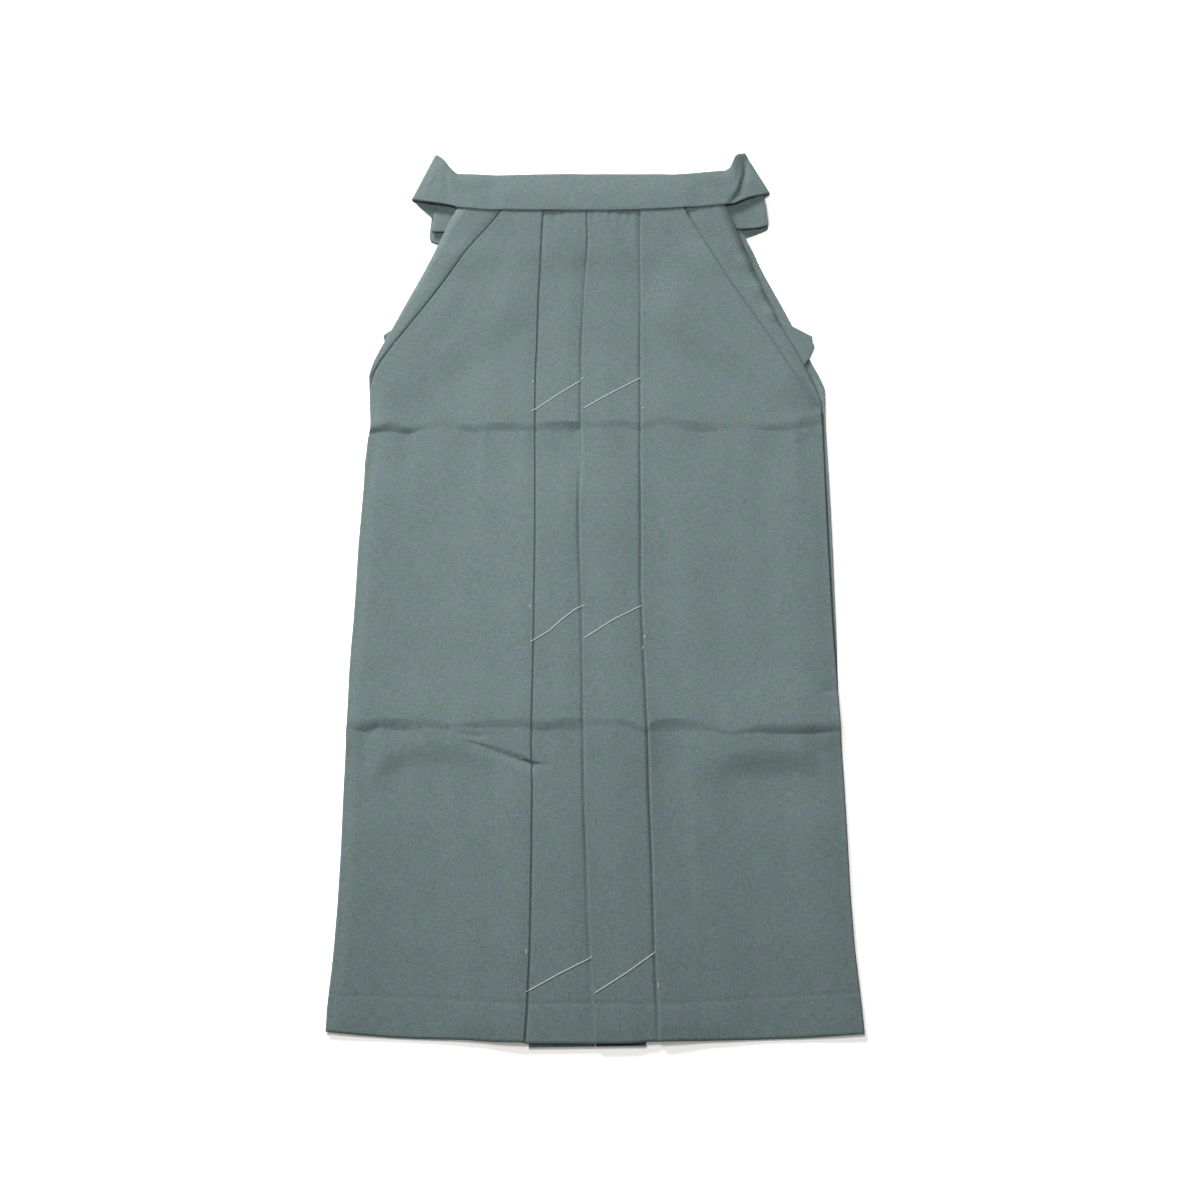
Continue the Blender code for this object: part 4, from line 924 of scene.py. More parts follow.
fronts = {}
for side, middle_strip in (("left", left_strip), ("right", right_strip)):
    row = Row(FRONT_DOWN, FRONT_LAYER)
    centre = front.at(row.down, "centre")
    pleat, anchor = outer_layers(row, side)
    middle_strip(row, pleat, centre, centre + hidden.at(row.down, "centre"))
    fronts[side] = make_sheet(f"front_{side}_cloth", laid_front(row), anchor)
    print(side, "front:", len(fronts[side].data.polygons), "faces before the wall")

# %% [markdown]
# ## The back and the gussets
# The back lies flat under all this: two plain widths that meet in a seam. A gusset is the inner
# side of a leg. It is one narrow width folded in two, with the fold away from the middle, and it
# is seen only as the lowest edge at the hem. Thin boxes could fill the pile where it is hidden,
# but these layers show at the slits and at the hem, so they are cloth as well.

# %% Lay the back
BACK_DOWN = rows_down(424.6, (376, 3), (120, 8), (-140, 10), (-236, 5), (-476, 10), (-490.5, 3))
BACK_STEPS = 36
BACK_HEM_SHORTER = 0.6 * MM
SEAM_GAP = 0.15 * MM           # each half of the back stops this short of the centre seam
NEAR_BACK_EDGE = (0.8, 1.6, 2.4, 3.2, 4.2, 5.5, 7.0)
CROSS_FOLDS = {name: FRONT_CREASES[name] for name in ("upper fold", "lower fold")}
BACK_LIFT, BACK_LIFT_SHARE = 0.3 * MM, 0.3     # they lift the back by a share, up to this height
ROUND_FROM, ROUND_TO, BACK_ROUND = -0.150, 0.215, 2.6 * MM    # where and how far its edge rises
ROUND_FADE = 30 * MM
ROUND_PAST, ROUND_WAY = 0.6, 2.4       # mm: from just past the front's edge, and over this way


def back_height(x, y):
    """The back's underside: the pile's, raised at the cross folds and along the right edge."""
    valleys, _ = crease_depths(CROSS_FOLDS, x, y)
    past_front = (x - front.at(y, "leaf_right")) / MM
    rounded = smooth((y - ROUND_FROM) / ROUND_FADE) * smooth((ROUND_TO - y) / ROUND_FADE)
    return (back_base(x, y) + np.minimum(BACK_LIFT_SHARE * valleys, BACK_LIFT)
            + BACK_ROUND * rounded * smooth((past_front - ROUND_PAST) / ROUND_WAY))


for side, outward in (("left", -1), ("right", 1)):
    row = Row(BACK_DOWN)
    edge, seam = back.at(row.down, side), back.at(row.down, "seam") + outward * SEAM_GAP
    beside_edge = near(edge, -outward, NEAR_BACK_EDGE)[::-1]
    flat = [edge] + beside_edge + spread(beside_edge[-1], seam, BACK_STEPS) + [seam]
    row.run(flat, 0)
    x, level = row.grid()
    y = row.down[:, None] + hem_shift(x, row.down[:, None]) + BACK_HEM_SHORTER
    make_sheet(f"back_{side}_cloth", on_pile(x, y, back_height(x, y), level), anchor=len(flat) - 1)
print("back:", len(BACK_DOWN), "rows of", len(flat), "points on each side of the seam")

# %% Fold the gussets
GUSSET_DOWN = np.concatenate((np.linspace(GUSSET_TOP, -0.480, 64),
                              np.linspace(-0.482, GUSSET_HEM, 6)))     # closer at the hem
GUSSET_STEPS = 8
GUSSET_SHARES = {"left": 1.12, "right": 0.86}    # the right one is folded in a little further
MIDDLE_GAP = 0.3 * MM
for side, outward in (("left", -1), ("right", 1)):
    row = Row(GUSSET_DOWN)
    middle = front.at(row.down, "centre") + outward * MIDDLE_GAP
    fold = middle + outward * gusset_depth(row.down) * GUSSET_SHARES[side]
    row.fold_in_two([middle] + spread(middle, fold, GUSSET_STEPS), fold, outward)
    x, level = row.grid()
    y = row.down[:, None] + 0 * x
    make_sheet(f"gusset_{side}_cloth", on_pile(x, y, inside_base(x, y), level))
    print(side, "gusset:", round(abs(fold - middle)[-1] / MM), "mm wide at the hem")

# %% [markdown]
# ## The ties that lie folded
# Ties are strips of the same cloth, well over a metre long. Here each one is folded to and fro
# behind the waist. Two runs of it show at each side, one on the other, joined by a fold at one
# end. They are pressed less firmly than the trousers, so they keep a little wave. A curve with a
# flat profile could make them too, but then their cut ends would be square.

# %% Fold the ties
TIE_ENDS = {                   # place across the tie, and how far its start and its end draw in
    "tie_runs_under": ((0, 9.0, 40.0), (3, 1.5, 29.0), (7.5, 0.4, 17.0), (13, 0.2, 4.0),
                       (15.5, 0.3, 0.6), (28, 1.5, 1.0), (41, 3.0, 3.0)),
    "tie_runs_inside": ((0, 0.6, 30.0), (2, 0.5, 9.0), (5, 0.4, 0.4), (18, 2.0, 1.2),
                        (27, 3.0, 2.0), (37, 4.5, 3.2), (46, 5.5, 5.5)),
    "back_tie_left": ((0, 8.0, 0.0), (16, 5.0, 0.0), (32, 5.0, 0.0), (40, 5.6, 0.0),
                      (46, 8.5, 0.0)),
    "back_tie_right": ((0, 0.0, -5.0), (20, 0.0, -6.8), (37, 0.0, -4.8), (40, 0.0, 0.4),
                       (46, 0.0, 2.6)),
}
TIE_ROWS, TIE_RUN_STEPS = 25, 70
TIE_END_EASE = 0.6             # mm
TIE_WAVE = 0.25 * MM
WAVES_ACROSS, WAVES_UP = 1.7, 1.3      # a tie's waves are this many times closer than the front's
TIE_LAYER = 0.85 * MM          # a tie's own two layers lie close together
TIE_DROOP = (1.0, 32.0)        # mm past the back's edge: there the upper run has come down
TIE_SPRUNG = 4.05 * MM         # to this height; a front tie's leg goes in under it


def past_back(x, y):
    """How far a place is beyond the back's side edges."""
    return np.maximum(back.at(y, "left") - x, x - back.at(y, "right"))


def tie_base(name, x, y):
    """Underside of a folded tie: the floor, or the back and the back waistband's edge."""
    if PATCHES[name].level == "floor":
        return 0 * x
    if name != "tie_runs_inside":
        return inside_base(x, y)
    raised = inside_base(x, y) + patch_share(PATCHES["back_waistband"], x, y) * LAYER
    start, end = TIE_DROOP
    droop = smooth((past_back(x, y) / MM - start) / (end - start))
    return raised + (TIE_SPRUNG - raised) * droop


for name, ends in TIE_ENDS.items():
    patch = PATCHES[name]
    turned = math.radians(patch.turn)
    end_lines = Lines(("across start end", ends), ease=TIE_END_EASE)
    across = np.linspace(0, patch.width, TIE_ROWS) * MM
    limits = (-patch.length / 2 * MM + end_lines.at(across, "start"),
              patch.length / 2 * MM - end_lines.at(across, "end"))
    fold_side = -1 if name.endswith("left") else 1
    raw, fold = limits[::fold_side]
    row = Row(across, TIE_LAYER)
    row.fold_in_two([raw] + spread(raw, fold, TIE_RUN_STEPS), fold, fold_side)
    along, level = row.grid()
    side = across[:, None] - patch.width / 2 * MM
    x = patch.x * MM + along * math.cos(turned) - side * math.sin(turned)
    y = patch.y * MM + along * math.sin(turned) + side * math.cos(turned)
    base = tie_base(name, x, y)
    if patch.level != "floor":
        base = base + unevenness(WAVES_ACROSS * x, WAVES_UP * y, TIE_WAVE)
    make_sheet(name + "_cloth", on_pile(x, y, base, level, TIE_LAYER))
    print(name.replace("_", " ") + ":", patch.layers, "layers of", patch.length, "mm")

# %% [markdown]
# ## The waistbands
# The back's waistband is a strip folded round the back's top edge and pressed flat. The front's
# is one long strip: in the middle it holds the pleated front's raw edge between its two sides,
# and past each end of the front it goes on as a tie. Each tie leaves as a puffed ear, folds over
# at a slant, and goes in underneath. Because it is one strip, no seam shows between band and tie.

# %% Fold the waistband of the back
FRONT_TOP = 440 * MM           # the front's raw edge, inside the waistband
BACK_BAND = {"left": -0.146, "right": 0.157, "lower": 0.4254, "upper": 0.4655}
BACK_BAND_STEPS, BACK_BAND_ROWS = 12, 60

row = Row(np.linspace(BACK_BAND["left"], BACK_BAND["right"], BACK_BAND_ROWS))
lower, upper = BACK_BAND["lower"], BACK_BAND["upper"]
row.fold_in_two([lower] + spread(lower, upper, BACK_BAND_STEPS), upper, 1)
y, level = row.grid()
x = row.down[:, None] + 0 * y
band_piece = make_sheet("back_waistband_cloth", on_pile(x, y, back_base(x, y), level))
print("back waistband:", len(band_piece.data.polygons), "faces before the wall")

# %% [markdown]
# The front's strip is worked out from a row of stations: the band's own columns, then at each end
# the ear, the slanted fold and the hidden leg. At every station the strip has an outer layer, a
# fold along its upper edge and an inner layer. One sheet through all stations keeps the weave
# running from the band into the ties.

# %% Tables of the front ties, in millimetres
WAIST_PILE = (-92.0, 110.0)    # the front is three layers deep between these places
BAND_LEVEL = 0.95              # layers between the pile's top layer and the waistband
BAND_CLOSED = 1.0              # layers between the waistband's two sides at its top
EDGE_CURL, EDGE_CURL_WIDTH = 0.2, 3.0   # mm: the lower edge is sewn down
CLOSING_START, CLOSING_END = FRONT_TOP + 3 * MM, FRONT_TOP + 22 * MM
BAND_INSIDE_EDGE = 429 * MM    # lower edge of the waistband's hidden side
TIE_GAP = 0.9 * MM             # between the middles of a tie's two layers
EAR_FOLD_TOP = {"left": 9.4, "right": 7.4}   # the slanted fold's outer layer above the floor
EAR_FOLD_BOTTOM = 2.6
EAR_CROWN = {"left": 1.2, "right": 2.0}    # how far an ear bows up between the band and the fold
EAR_LOW = {"left": 0.5, "right": 0.2}      # the share of that which is left at its lower edge
# Each edge goes from the band's end to the slanted fold; under: the end of the hidden leg.
EARS = {
    "left": {
        "lower": ((-147.0, 424.6), (-156.0, 427.4), (-165.1, 429.6), (-171.3, 431.2),
                  (-185.0, 434.4), (-198.9, 437.9)),
        "upper": ((-147.0, 468.0), (-149.7, 469.6), (-157.1, 478.0), (-163.7, 487.0),
                  (-167.9, 491.6), (-173.3, 495.8)),
        "under": ((-169.0, 410.8), (-160.0, 470.0)),
    },
    "right": {
        "lower": ((159.0, 424.6), (168.0, 426.6), (176.5, 431.0), (184.5, 435.0), (192.5, 437.6),
                  (202.0, 440.2), (209.2, 442.4)),
        "upper": ((159.0, 468.8), (163.6, 471.4), (168.6, 481.4), (172.6, 490.0), (176.0, 493.6),
                  (182.9, 495.6)),
        "under": ((196.0, 431.5), (180.0, 478.0)),
    },
}
EAR_CREASES = {
    "right valley": Crease("y", 5.5, 24.0, None, (
        (420, 159.5, 0.3), (428, 163.5, 0.6), (436, 169.6, 0.9), (443, 174.7, 1.1),
        (450, 177.7, 1.2), (458, 180.7, 1.3), (466, 183.7, 1.3), (476, 185.0, 1.1),
        (486, 184.5, 0.6), (492, 184.0, 0.0))),
    "right valley's foot": Crease("y", 3.2, 12.0, None, (
        (420, 160.0, 0.3), (430, 165.5, 0.8), (437, 170.5, 1.0), (443, 174.0, 1.1),
        (450, 176.2, 1.1), (458, 178.8, 1.1), (466, 181.4, 1.0), (474, 183.2, 0.6),
        (480, 184.0, 0.0))),
    "right hollow": Crease("y", 14.0, 8.0, None, (
        (458, 181.0, 0.0), (466, 182.0, 1.3), (477, 183.0, 2.3), (486, 183.5, 1.6),
        (492, 184.0, 0.0))),
    "left valley": Crease("y", 8.0, 8.0, None, (
        (426, -154.5, 0.2), (434, -156.0, 0.5), (447, -158.0, 0.9), (460, -160.5, 1.1),
        (472, -162.0, 0.9), (480, -163.5, 0.0))),
    "left tip": Crease("y", 5.0, 7.0, None, (
        (438, -190.0, 0.0), (446, -187.0, -0.4), (462, -181.0, -0.6), (478, -175.0, -0.3),
        (488, -172.0, 0.0))),
}


# %% Heights of the front's waistband
def waist_levels(x, y):
    """How many of the front's layers lie over its lowest one inside the waistband."""
    inside = np.minimum(x - WAIST_PILE[0] * MM, WAIST_PILE[1] * MM - x)
    share = smooth(1 + inside / (PATCH_RAMP * MM))
    closed = smooth((y - CLOSING_START) / (CLOSING_END - CLOSING_START))
    return (2 * (1 - SQUEEZE) * share * (1 - closed) * FRONT_LAYER / LAYER
            + BAND_CLOSED * closed)


def band_heights(x, y):
    """Middles of the waistband's outer wall, over the front, and of its inner wall, under it."""
    base = front_base(x, y)
    outer = base + (waist_levels(x, y) + BAND_LEVEL) * LAYER + WALL / 2
    above_edge = (y - band.at(x, "lower")) / (EDGE_CURL_WIDTH * MM)
    outer -= EDGE_CURL * MM * np.clip(1 - above_edge, 0, 1) ** 2
    inner = base - patch_share(PATCHES["front_waistband"], x, y) * LAYER + WALL / 2
    return outer, inner


# %% The ears: from the band's end over the slanted fold to the hidden leg
EAR_STATIONS, LEG_STATIONS, STRIP_COLUMNS = 26, 6, 30
EAR_EDGE_EASE = 1.8            # mm
BOW_RISE = 2.5                 # an ear's bow is full at one part in this many of its width
columns = np.linspace(0, 1, STRIP_COLUMNS)
across = columns[None, :]


def edge_points(points, count):
    """count places, evenly spaced along a polyline in millimetres, with its corners eased."""
    points = np.array(points, float)
    lengths = lengths_along(points)
    fine = np.linspace(0, lengths[-1], int(lengths[-1] / STEP) + 1)
    line = [eased(np.interp(fine, lengths, points[:, axis]), EAR_EDGE_EASE / STEP)
            for axis in (0, 1)]
    even = np.linspace(0, lengths[-1], count)
    return np.stack([np.interp(even, fine, values) for values in line], 1) * MM


def ruled(low, high):
    """Places from each low point to each high one, in plan, inset for the fold at the top."""
    length = np.linalg.norm(high - low, axis=1)[:, None, None]
    inset = (TIE_GAP / 2 + WALL / 2) / length
    return low[:, None] + (high - low)[:, None] * across[..., None] * (1 - inset)


def ear_stations(side):
    """Outer layer from the band's end over the slanted fold to the hidden end."""
    ear, outward = EARS[side], -1 if side == "left" else 1
    # the ear, bowed up between the band's end and the slanted fold
    low, high = edge_points(ear["lower"], EAR_STATIONS), edge_points(ear["upper"], EAR_STATIONS)
    place = ruled(low, high)
    x, y = place[..., 0], place[..., 1]
    share = np.linspace(0, 1, EAR_STATIONS)[:, None]
    seam_height = band_heights(x[:1], y[:1])[0]
    height = seam_height + (EAR_FOLD_TOP[side] * MM - seam_height) * share
    valleys, ridges = crease_depths(EAR_CREASES, x, y)
    bow = EAR_LOW[side] + (1 - EAR_LOW[side]) * smooth(across * BOW_RISE)
    bow = bow * np.sin(math.pi * share)
    height = height + EAR_CROWN[side] * MM * bow - valleys + ridges
    # half a turn over the slanted fold
    slant = (high[-1] - low[-1]) / np.linalg.norm(high[-1] - low[-1])
    outwards = np.array((slant[1], -slant[0])) * outward
    radius = (EAR_FOLD_TOP[side] - EAR_FOLD_BOTTOM) / 2 * MM
    reach = radius + WALL / 2
    pull = smooth(share) * reach      # the fold's outermost line is the table's, so step back
    place = place - outwards * pull[..., None]
    upper = np.concatenate((place, height[..., None]), -1)
    turned = []
    for angle in TURN_ANGLES[::-1][1:]:
        shift = np.append(outwards * radius * math.cos(angle), -radius * (1 - math.sin(angle)))
        turned.append(upper[-1] + shift)
    # the leg that goes in underneath
    under_low, under_high = np.array(ear["under"]) * MM
    under = ruled(under_low[None], under_high[None])[0]
    under = np.concatenate((under, np.full((STRIP_COLUMNS, 1), EAR_FOLD_BOTTOM * MM)), -1)
    leg = [turned[-1] + (under - turned[-1]) * s for s in np.linspace(0, 1, LEG_STATIONS)[1:]]
    return np.concatenate((upper, np.array(turned), np.array(leg)))


strip_left, strip_right = ear_stations("left"), ear_stations("right")
print("ear:", len(strip_left), "stations")

# %% The outer layer of the strip, and which way it faces
BAND_SPACING = 3.4 * MM
EAR_BLEND = 0.4                # the share of an ear's stations over which its facing takes over
left_end, right_end = band.places[0] * MM, band.places[-1] * MM
x = np.linspace(left_end, right_end, int((right_end - left_end) / BAND_SPACING) + 1)
low = np.stack((x, band.at(x, "lower")), -1)
high = np.stack((x, band.at(x, "upper")), -1)
place = ruled(low, high)
band_outer, band_inner = band_heights(place[..., 0], place[..., 1])
middle = np.concatenate((place, band_outer[..., None]), -1)
outer = np.concatenate((strip_left[:0:-1], middle, strip_right[1:]))
first = len(strip_left) - 1
last = first + len(x) - 1

normal = np.cross(np.gradient(outer, axis=0), np.gradient(outer, axis=1))
normal /= np.linalg.norm(normal, axis=2, keepdims=True)
station = np.arange(len(outer))[:, None, None]
outside = np.maximum(np.maximum(first - station, station - last), 0)
ear_share = smooth(outside / (EAR_STATIONS * EAR_BLEND))
normal = normal * ear_share + np.array((0, 0, 1)) * (1 - ear_share)
normal /= np.linalg.norm(normal, axis=2, keepdims=True)

# %% The inner layer, and the fold that joins them
def with_ears(values):
    """The band's values, and its end values kept on through both ears."""
    return np.concatenate((np.repeat(values[:1], first, 0), values,
                           np.repeat(values[-1:], len(strip_right) - 1, 0)))


gap = with_ears(band_outer - band_inner)[..., None]
gap = gap * (1 - ear_share) + TIE_GAP * ear_share
inner = outer - normal * gap

inner_from = np.clip((BAND_INSIDE_EDGE - low[:, 1]) / (high[:, 1] - low[:, 1]), 0, 1)
inner_from = with_ears(inner_from) * (1 - ear_share[:, 0, 0])
for number, start in enumerate(inner_from):
    wanted = start + (1 - start) * columns
    inner[number] = np.stack([np.interp(wanted, columns, inner[number, :, axis])
                              for axis in range(3)], 1)

edge_way = outer[:, -1] - outer[:, -2]
edge_way /= np.linalg.norm(edge_way, axis=1, keepdims=True)
top, half = (outer[:, -1] + inner[:, -1]) / 2, (outer[:, -1] - inner[:, -1]) / 2
radius = np.linalg.norm(half, axis=1, keepdims=True)
fold = [top + half * math.sin(a) + edge_way * radius * math.cos(a) for a in TURN_ANGLES[::-1][1:-1]]
strip = np.concatenate((outer, np.stack(fold, 1), inner[:, ::-1]), 1)
make_sheet("front_tie_strip", strip)
print("front strip:", strip.shape[0], "stations of", strip.shape[1], "points")

# %% [markdown]
# ## The cloth's material
# This is a plain weave of grey-green yarn, dyed before weaving: fibres of slightly different
# shades were spun together, so close up the cloth is a fine mottle of green, grey and a little
# violet, with thicker places in single threads both ways. It is dull, with the faintest bloom
# at a grazing angle. The weave follows the UV map, in metres, so it has its real size and
# direction everywhere.

# %% Grains of the plain weave
THREAD = 0.55 * MM             # real threads are about 0.45 mm; a little coarser, to show
SLUB_LENGTH = 9.0 * MM
MOTTLE = 2.8 * MM
TINT_SIZE = (9.0 * MM, 14.0 * MM)      # patches of violet and of green fibre
CLOUD = 26.0 * MM
# Each noise: metres to a grain across and down the cloth, and how much fine detail it has.
GRAINS = {
    "warp slubs": (THREAD * 1.6, SLUB_LENGTH, 2.0),
    "weft slubs": (SLUB_LENGTH, THREAD * 1.6, 2.0),
    "mottle": (MOTTLE, MOTTLE, 3.0),
    "fibre tints": (*TINT_SIZE, 3.0),
    "clouds": (CLOUD, CLOUD * 1.4, 2.0),
}

cloth, output = new_material("yarn_dyed_plain_weave")
tree = cloth.node_tree
uv = add_node(tree, "ShaderNodeTexCoord").outputs["UV"]
grain = {}
for name, (across, down, detail) in GRAINS.items():
    place = add_node(tree, "ShaderNodeMapping", {"Vector": uv, "Scale": (1 / across, 1 / down, 1)})
    grain[name] = add_node(tree, "ShaderNodeTexNoise", {
        "Vector": place.outputs["Vector"], "Scale": 1.0, "Detail": detail,
        "Roughness": 0.55}).outputs["Fac"]

print("grains of the cloth:", ", ".join(grain))

# %% The yarn's shades
# The yarn is the sum of the two slub noises and the mottle; the other two noises only tint it.
CLOTH_DARK, CLOTH_LIGHT = "#465555", "#617171"
CLOTH_VIOLET, CLOTH_GREEN = "#5b5c6d", "#4e665a"
SLUB_SHARE, MOTTLE_SHARE, TINT_SHARE = 0.34, 0.32, 0.3
STRETCHES = {                  # a noise keeps near its middle: from, to, and what to becomes
    "yarn": (0.40, 0.60, 1.0),
    "fibre tints": (0.38, 0.62, 1.0),
    "clouds": (0.30, 0.70, 0.22),
}
both = add_node(tree, "ShaderNodeMath", {0: grain["warp slubs"], 1: grain["weft slubs"]},
                operation="ADD")
slubs = add_node(tree, "ShaderNodeMath", {0: both.outputs["Value"], 1: SLUB_SHARE},
                 operation="MULTIPLY")
yarn = add_node(tree, "ShaderNodeMath", operation="MULTIPLY_ADD", inputs={
    0: grain["mottle"], 1: MOTTLE_SHARE, 2: slubs.outputs["Value"]})
grain["yarn"] = yarn.outputs["Value"]
stretched = {}
for name, (low, high, top) in STRETCHES.items():
    stretched[name] = add_node(tree, "ShaderNodeMapRange", {
        "Value": grain[name], "From Min": low, "From Max": high,
        "To Max": top}).outputs["Result"]
shade = add_node(tree, "ShaderNodeMix", data_type="RGBA", inputs={
    "Factor": stretched["yarn"], "A": linear(CLOTH_DARK), "B": linear(CLOTH_LIGHT)})
tint = add_node(tree, "ShaderNodeMix", data_type="RGBA", inputs={
    "Factor": stretched["fibre tints"], "A": linear(CLOTH_VIOLET), "B": linear(CLOTH_GREEN)})
tinted = add_node(tree, "ShaderNodeMix", data_type="RGBA", inputs={
    "Factor": TINT_SHARE, "A": shade.outputs["Result"], "B": tint.outputs["Result"]})
paler = add_node(tree, "ShaderNodeMix", data_type="RGBA", inputs={
    "Factor": stretched["clouds"], "A": tinted.outputs["Result"], "B": linear(CLOTH_LIGHT)})

# %% The weave's relief
CHECK_HEIGHT, YARN_HEIGHT = 0.25, 0.8  # shares of the relief's depth
RELIEF_DEPTH = 0.12 * MM
step = add_node(tree, "ShaderNodeMapping", {"Vector": uv, "Scale": (math.pi / THREAD,) * 3})
turn = add_node(tree, "ShaderNodeSeparateXYZ", {"Vector": step.outputs["Vector"]})
waves = [add_node(tree, "ShaderNodeMath", {0: turn.outputs[axis]}, operation="SINE")
         for axis in ("X", "Y")]
checks = add_node(tree, "ShaderNodeMath", {
    0: waves[0].outputs["Value"], 1: waves[1].outputs["Value"]}, operation="MULTIPLY")
weave = add_node(tree, "ShaderNodeMath", operation="MULTIPLY_ADD", inputs={
    0: checks.outputs["Value"], 1: CHECK_HEIGHT, 2: CHECK_HEIGHT})
relief = add_node(tree, "ShaderNodeMath", operation="MULTIPLY_ADD", inputs={
    0: grain["yarn"], 1: YARN_HEIGHT, 2: weave.outputs["Value"]})
bump = add_node(tree, "ShaderNodeBump", {
    "Height": relief.outputs["Value"], "Strength": 0.5, "Distance": RELIEF_DEPTH})
fibre = add_node(tree, "ShaderNodeBsdfPrincipled", {
    "Base Color": paler.outputs["Result"], "Normal": bump.outputs["Normal"], "Roughness": 0.86,
    "Specular IOR Level": 0.25, "Sheen Weight": 0.06, "Sheen Roughness": 0.5})
tree.links.new(fibre.outputs["BSDF"], output.inputs["Surface"])
for piece in all_pieces.values():
    piece.data.materials.append(cloth)
print("material:", cloth.name, "on", len(all_pieces), "pieces")

# %% [markdown]
# ## The basting threads
# White cotton thread holds the pressed pleats until the trousers are first worn. It makes one
# long slanting stitch over each middle strip, three times down the front, and shows as a dot
# where it dives in beside a fold. A Geometry Nodes tree turns the stitches' lines into twisted
# thread: it is the usual way for anything that follows a path.

# %% Cotton thread material
# Two-ply cotton, bleached and unwaxed: dull and a little fluffy, and a soft white rather than a
# bright one, because each ply shades the other.
cotton, output = new_material("white_basting_cotton")
tree = cotton.node_tree
place = add_node(tree, "ShaderNodeTexCoord").outputs["Object"]
fluff = add_node(tree, "ShaderNodeTexNoise", {"Vector": place, "Scale": 1500.0, "Detail": 2.0})
ply = add_node(tree, "ShaderNodeMix", data_type="RGBA", inputs={
    "Factor": fluff.outputs["Fac"], "A": linear("#9ca6a4"), "B": linear("#b4bcba")})
strand = add_node(tree, "ShaderNodeBsdfPrincipled", {
    "Base Color": ply.outputs["Result"], "Roughness": 0.75, "Sheen Weight": 0.1})
tree.links.new(strand.outputs["BSDF"], output.inputs["Surface"])
print("material:", cotton.name)

# %% Lines of the stitches, on the cloth
THREAD_WIDTH = 0.95 * MM       # a slack two-ply thread, pressed flat, so it looks wider
THREAD_SUNK = 0.1              # share of its width from the cloth to its middle
STITCHES = (                   # points in millimetres; in between, the thread lies on the cloth
    ((-62.2, 173.7), (-33.0, 194.6), (-4.9, 213.5)),
    ((-4.7, 177.1), (27.0, 196.2), (57.3, 213.7)),
    ((-62.5, -87.0), (-42.6, -74.6), (-31.0, -63.8), (-19.2, -54.2), (-12.2, -49.3), (-5.6, -48.7)),
    ((-6.1, -83.7), (22.0, -65.0), (53.5, -48.3)),
    ((-65.9, -440.0), (-33.0, -422.6), (-2.0, -407.7)),
    ((0.8, -441.8), (31.0, -423.4), (60.3, -403.4)),
    ((-60.4, 208.6), (-60.2, 210.8)), ((59.6, 174.8), (59.6, 177.2)),
    ((-62.9, -49.6), (-62.9, -47.2)), ((56.0, -84.4), (56.0, -82.0)),
    ((54.0, -95.6), (54.0, -92.8)), ((-65.7, -404.0), (-65.7, -400.0)),
    ((62.3, -438.0), (62.3, -433.2)),
)
STITCH_STEP, STITCH_POINTS = 1.0 * MM, 4       # a short stitch has this many points at least
DIVE = 1.0 * MM                # a stitch's end goes this far into the cloth
graph = bpy.context.evaluated_depsgraph_get()
surfaces = [BVHTree.FromObject(piece, graph) for piece in fronts.values()]
ABOVE, DOWN = 0.05, Vector((0, 0, -1))


def top_of_cloth(x, y):
    """Height of the uppermost cloth at a place."""
    hits = [tree.ray_cast(Vector((x, y, ABOVE)), DOWN)[0] for tree in surfaces]
    return max(hit.z for hit in hits if hit is not None)


def line_on_cloth(points, raise_by):
    """A polyline in metres along the cloth's top, whose two ends dive in."""
    points = np.array(points) * MM
    lengths = lengths_along(points)
    count = max(STITCH_POINTS, int(lengths[-1] / STITCH_STEP))
    even = np.linspace(0, lengths[-1], count)
    path = [Vector((float(x), float(y), top_of_cloth(float(x), float(y)) + raise_by))
            for x, y in zip(*(np.interp(even, lengths, points[:, axis]) for axis in (0, 1)))]
    smoothed = [p.copy() for p in path]
    for number in range(1, count - 1):   # a taut thread bridges small dips
        smoothed[number].z = max(path[number].z,
                                 (path[number - 1].z + path[number + 1].z) / 2)
    start, end = smoothed[0].copy(), smoothed[-1].copy()
    start.z -= DIVE
    end.z -= DIVE
    return [start] + smoothed + [end]


def line_object(name, lines):
    """One object that holds all the lines as loose edges."""
    vertices, edges = [], []
    for line in lines:
        first = len(vertices)
        vertices += [tuple(point) for point in line]
        edges += [(n, n + 1) for n in range(first, len(vertices) - 1)]
    mesh = bpy.data.meshes.new(name)
    mesh.from_pydata(vertices, edges, [])
    return add_object(name, mesh)


stitch_lines = [line_on_cloth(points, THREAD_WIDTH * THREAD_SUNK) for points in STITCHES]
basting = line_object("basting_threads", stitch_lines)
print("basting:", len(stitch_lines), "stitches,", len(basting.data.vertices), "points")


# %% The thread tree
THREAD_STEP, THREAD_SIDES = 0.5 * MM, 8
THREAD_FLATNESS = 0.9          # two plies side by side are a little wider than they are thick
PLY_TWIST = 2.6 * MM           # the way along the thread of one whole twist


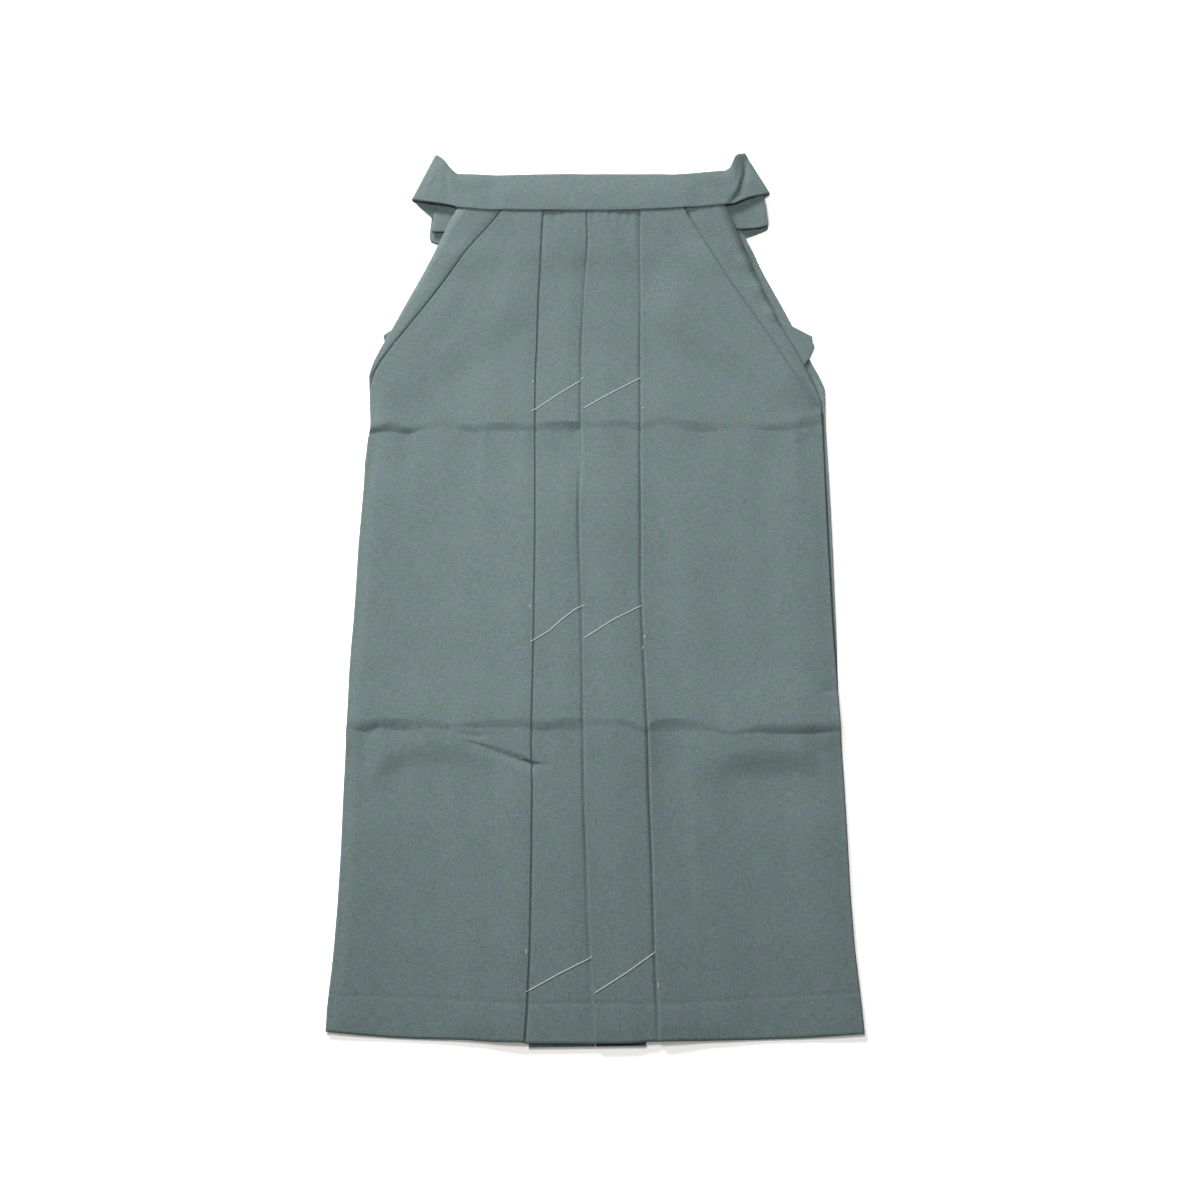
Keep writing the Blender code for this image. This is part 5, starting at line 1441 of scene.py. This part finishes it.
def thread_tree(name, material):
    """Line to thread: an oval tube that twists as two plies do. Its sizes are named inputs."""
    nodes = bpy.data.node_groups.new(name, "GeometryNodeTree")
    face = nodes.interface
    face.new_socket("Geometry", in_out="INPUT", socket_type="NodeSocketGeometry")
    for size, value in {"Diameter": THREAD_WIDTH, "Ply Twist Length": PLY_TWIST}.items():
        socket = face.new_socket(size, in_out="INPUT", socket_type="NodeSocketFloat")
        socket.default_value = value
    face.new_socket("Geometry", in_out="OUTPUT", socket_type="NodeSocketGeometry")
    given = add_node(nodes, "NodeGroupInput")
    curve = add_node(nodes, "GeometryNodeMeshToCurve", {"Mesh": given.outputs["Geometry"]})
    even = add_node(nodes, "GeometryNodeResampleCurve",
                    {"Curve": curve.outputs["Curve"], "Length": THREAD_STEP}, mode="LENGTH")
    walked = add_node(nodes, "GeometryNodeSplineParameter")
    turns = add_node(nodes, "ShaderNodeMath", operation="DIVIDE", inputs={
        0: walked.outputs["Length"], 1: given.outputs["Ply Twist Length"]})
    angle = add_node(nodes, "ShaderNodeMath", operation="MULTIPLY", inputs={
        0: turns.outputs["Value"], 1: 2 * math.pi})
    twisted = add_node(nodes, "GeometryNodeSetCurveTilt",
                       {"Curve": even.outputs["Curve"], "Tilt": angle.outputs["Value"]})
    radius = add_node(nodes, "ShaderNodeMath", operation="MULTIPLY", inputs={
        0: given.outputs["Diameter"], 1: 0.5})
    ring = add_node(nodes, "GeometryNodeCurvePrimitiveCircle",
                    {"Radius": radius.outputs["Value"], "Resolution": THREAD_SIDES})
    oval = add_node(nodes, "GeometryNodeTransform",
                    {"Geometry": ring.outputs["Curve"], "Scale": (1.0, THREAD_FLATNESS, 1.0)})
    tube = add_node(nodes, "GeometryNodeCurveToMesh", {
        "Curve": twisted.outputs["Curve"], "Profile Curve": oval.outputs["Geometry"],
        "Fill Caps": True})
    real = add_node(nodes, "GeometryNodeRealizeInstances", {"Geometry": tube.outputs["Mesh"]})
    painted = add_node(nodes, "GeometryNodeSetMaterial",
                       {"Geometry": real.outputs["Geometry"], "Material": material})
    add_node(nodes, "NodeGroupOutput", {"Geometry": painted.outputs["Geometry"]})
    return nodes


def set_inputs(modifier, values):
    """Sets a node modifier's inputs by their sockets' identifiers."""
    for item in modifier.node_group.interface.items_tree:
        if item.in_out == "INPUT" and item.name in values:
            modifier[item.identifier] = values[item.name]


def bake(line):
    """Turns an object with a node modifier into a plain mesh."""
    evaluated = line.evaluated_get(bpy.context.evaluated_depsgraph_get())
    mesh = bpy.data.meshes.new_from_object(evaluated)
    line.modifiers.clear()
    line.data = mesh
    mesh.shade_smooth()
    return line


sewing = basting.modifiers.new("sewn thread", "NODES")
sewing.node_group = thread_tree("sewn thread", cotton)
set_inputs(sewing, {"Diameter": THREAD_WIDTH, "Ply Twist Length": PLY_TWIST})
bake(basting)
print("basting threads:", len(basting.data.polygons), "faces")

# %% [markdown]
# ## Hand over to the frame
# Each piece of cloth stands for one or more of the frame's solids and moves with the only body.
# The table below lists each sheet's cut: how wide and long the cloth is that went into what is
# modelled.

# %% Bodies and sheets
# (width, length) of the cut in metres, how it lies, and what it lies on
SHEETS = {
    "front_left_cloth": ((0.36, 0.93), "folded", ["back_left_cloth", "gusset_left_cloth"]),
    "front_right_cloth": ((0.38, 0.93), "folded", ["back_right_cloth", "gusset_right_cloth"]),
    "back_left_cloth": ((0.23, 0.91), "laid", ["tie_runs_under_cloth"]),
    "back_right_cloth": ((0.25, 0.91), "laid", ["tie_runs_under_cloth"]),
    "gusset_left_cloth": ((0.09, 0.53), "folded", ["back_left_cloth"]),
    "gusset_right_cloth": ((0.09, 0.53), "folded", ["back_right_cloth"]),
    "back_waistband_cloth": ((0.08, 0.303), "folded", ["back_left_cloth", "back_right_cloth"]),
    "tie_runs_under_cloth": ((0.041, 0.76), "folded", ["floor"]),
    "tie_runs_inside_cloth": ((0.046, 0.76), "folded", ["back_left_cloth", "back_right_cloth"]),
    "back_tie_left_cloth": ((0.046, 0.26), "folded", ["back_left_cloth"]),
    "back_tie_right_cloth": ((0.046, 0.28), "folded", ["back_right_cloth"]),
    "front_tie_strip": ((0.092, 0.56), "folded", ["front_left_cloth", "front_right_cloth"]),
}
STRIP_NODES = ["front_waistband", "front_tie_left", "front_tie_right"]

for name, (flat, held, rests_on) in SHEETS.items():
    piece = all_pieces[name]
    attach(piece, "root")
    nodes = STRIP_NODES if name == "front_tie_strip" else [name.removesuffix("_cloth")]
    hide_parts(*nodes)
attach(basting, "root")
print("handed over:", len(SHEETS), "sheets and the basting threads")
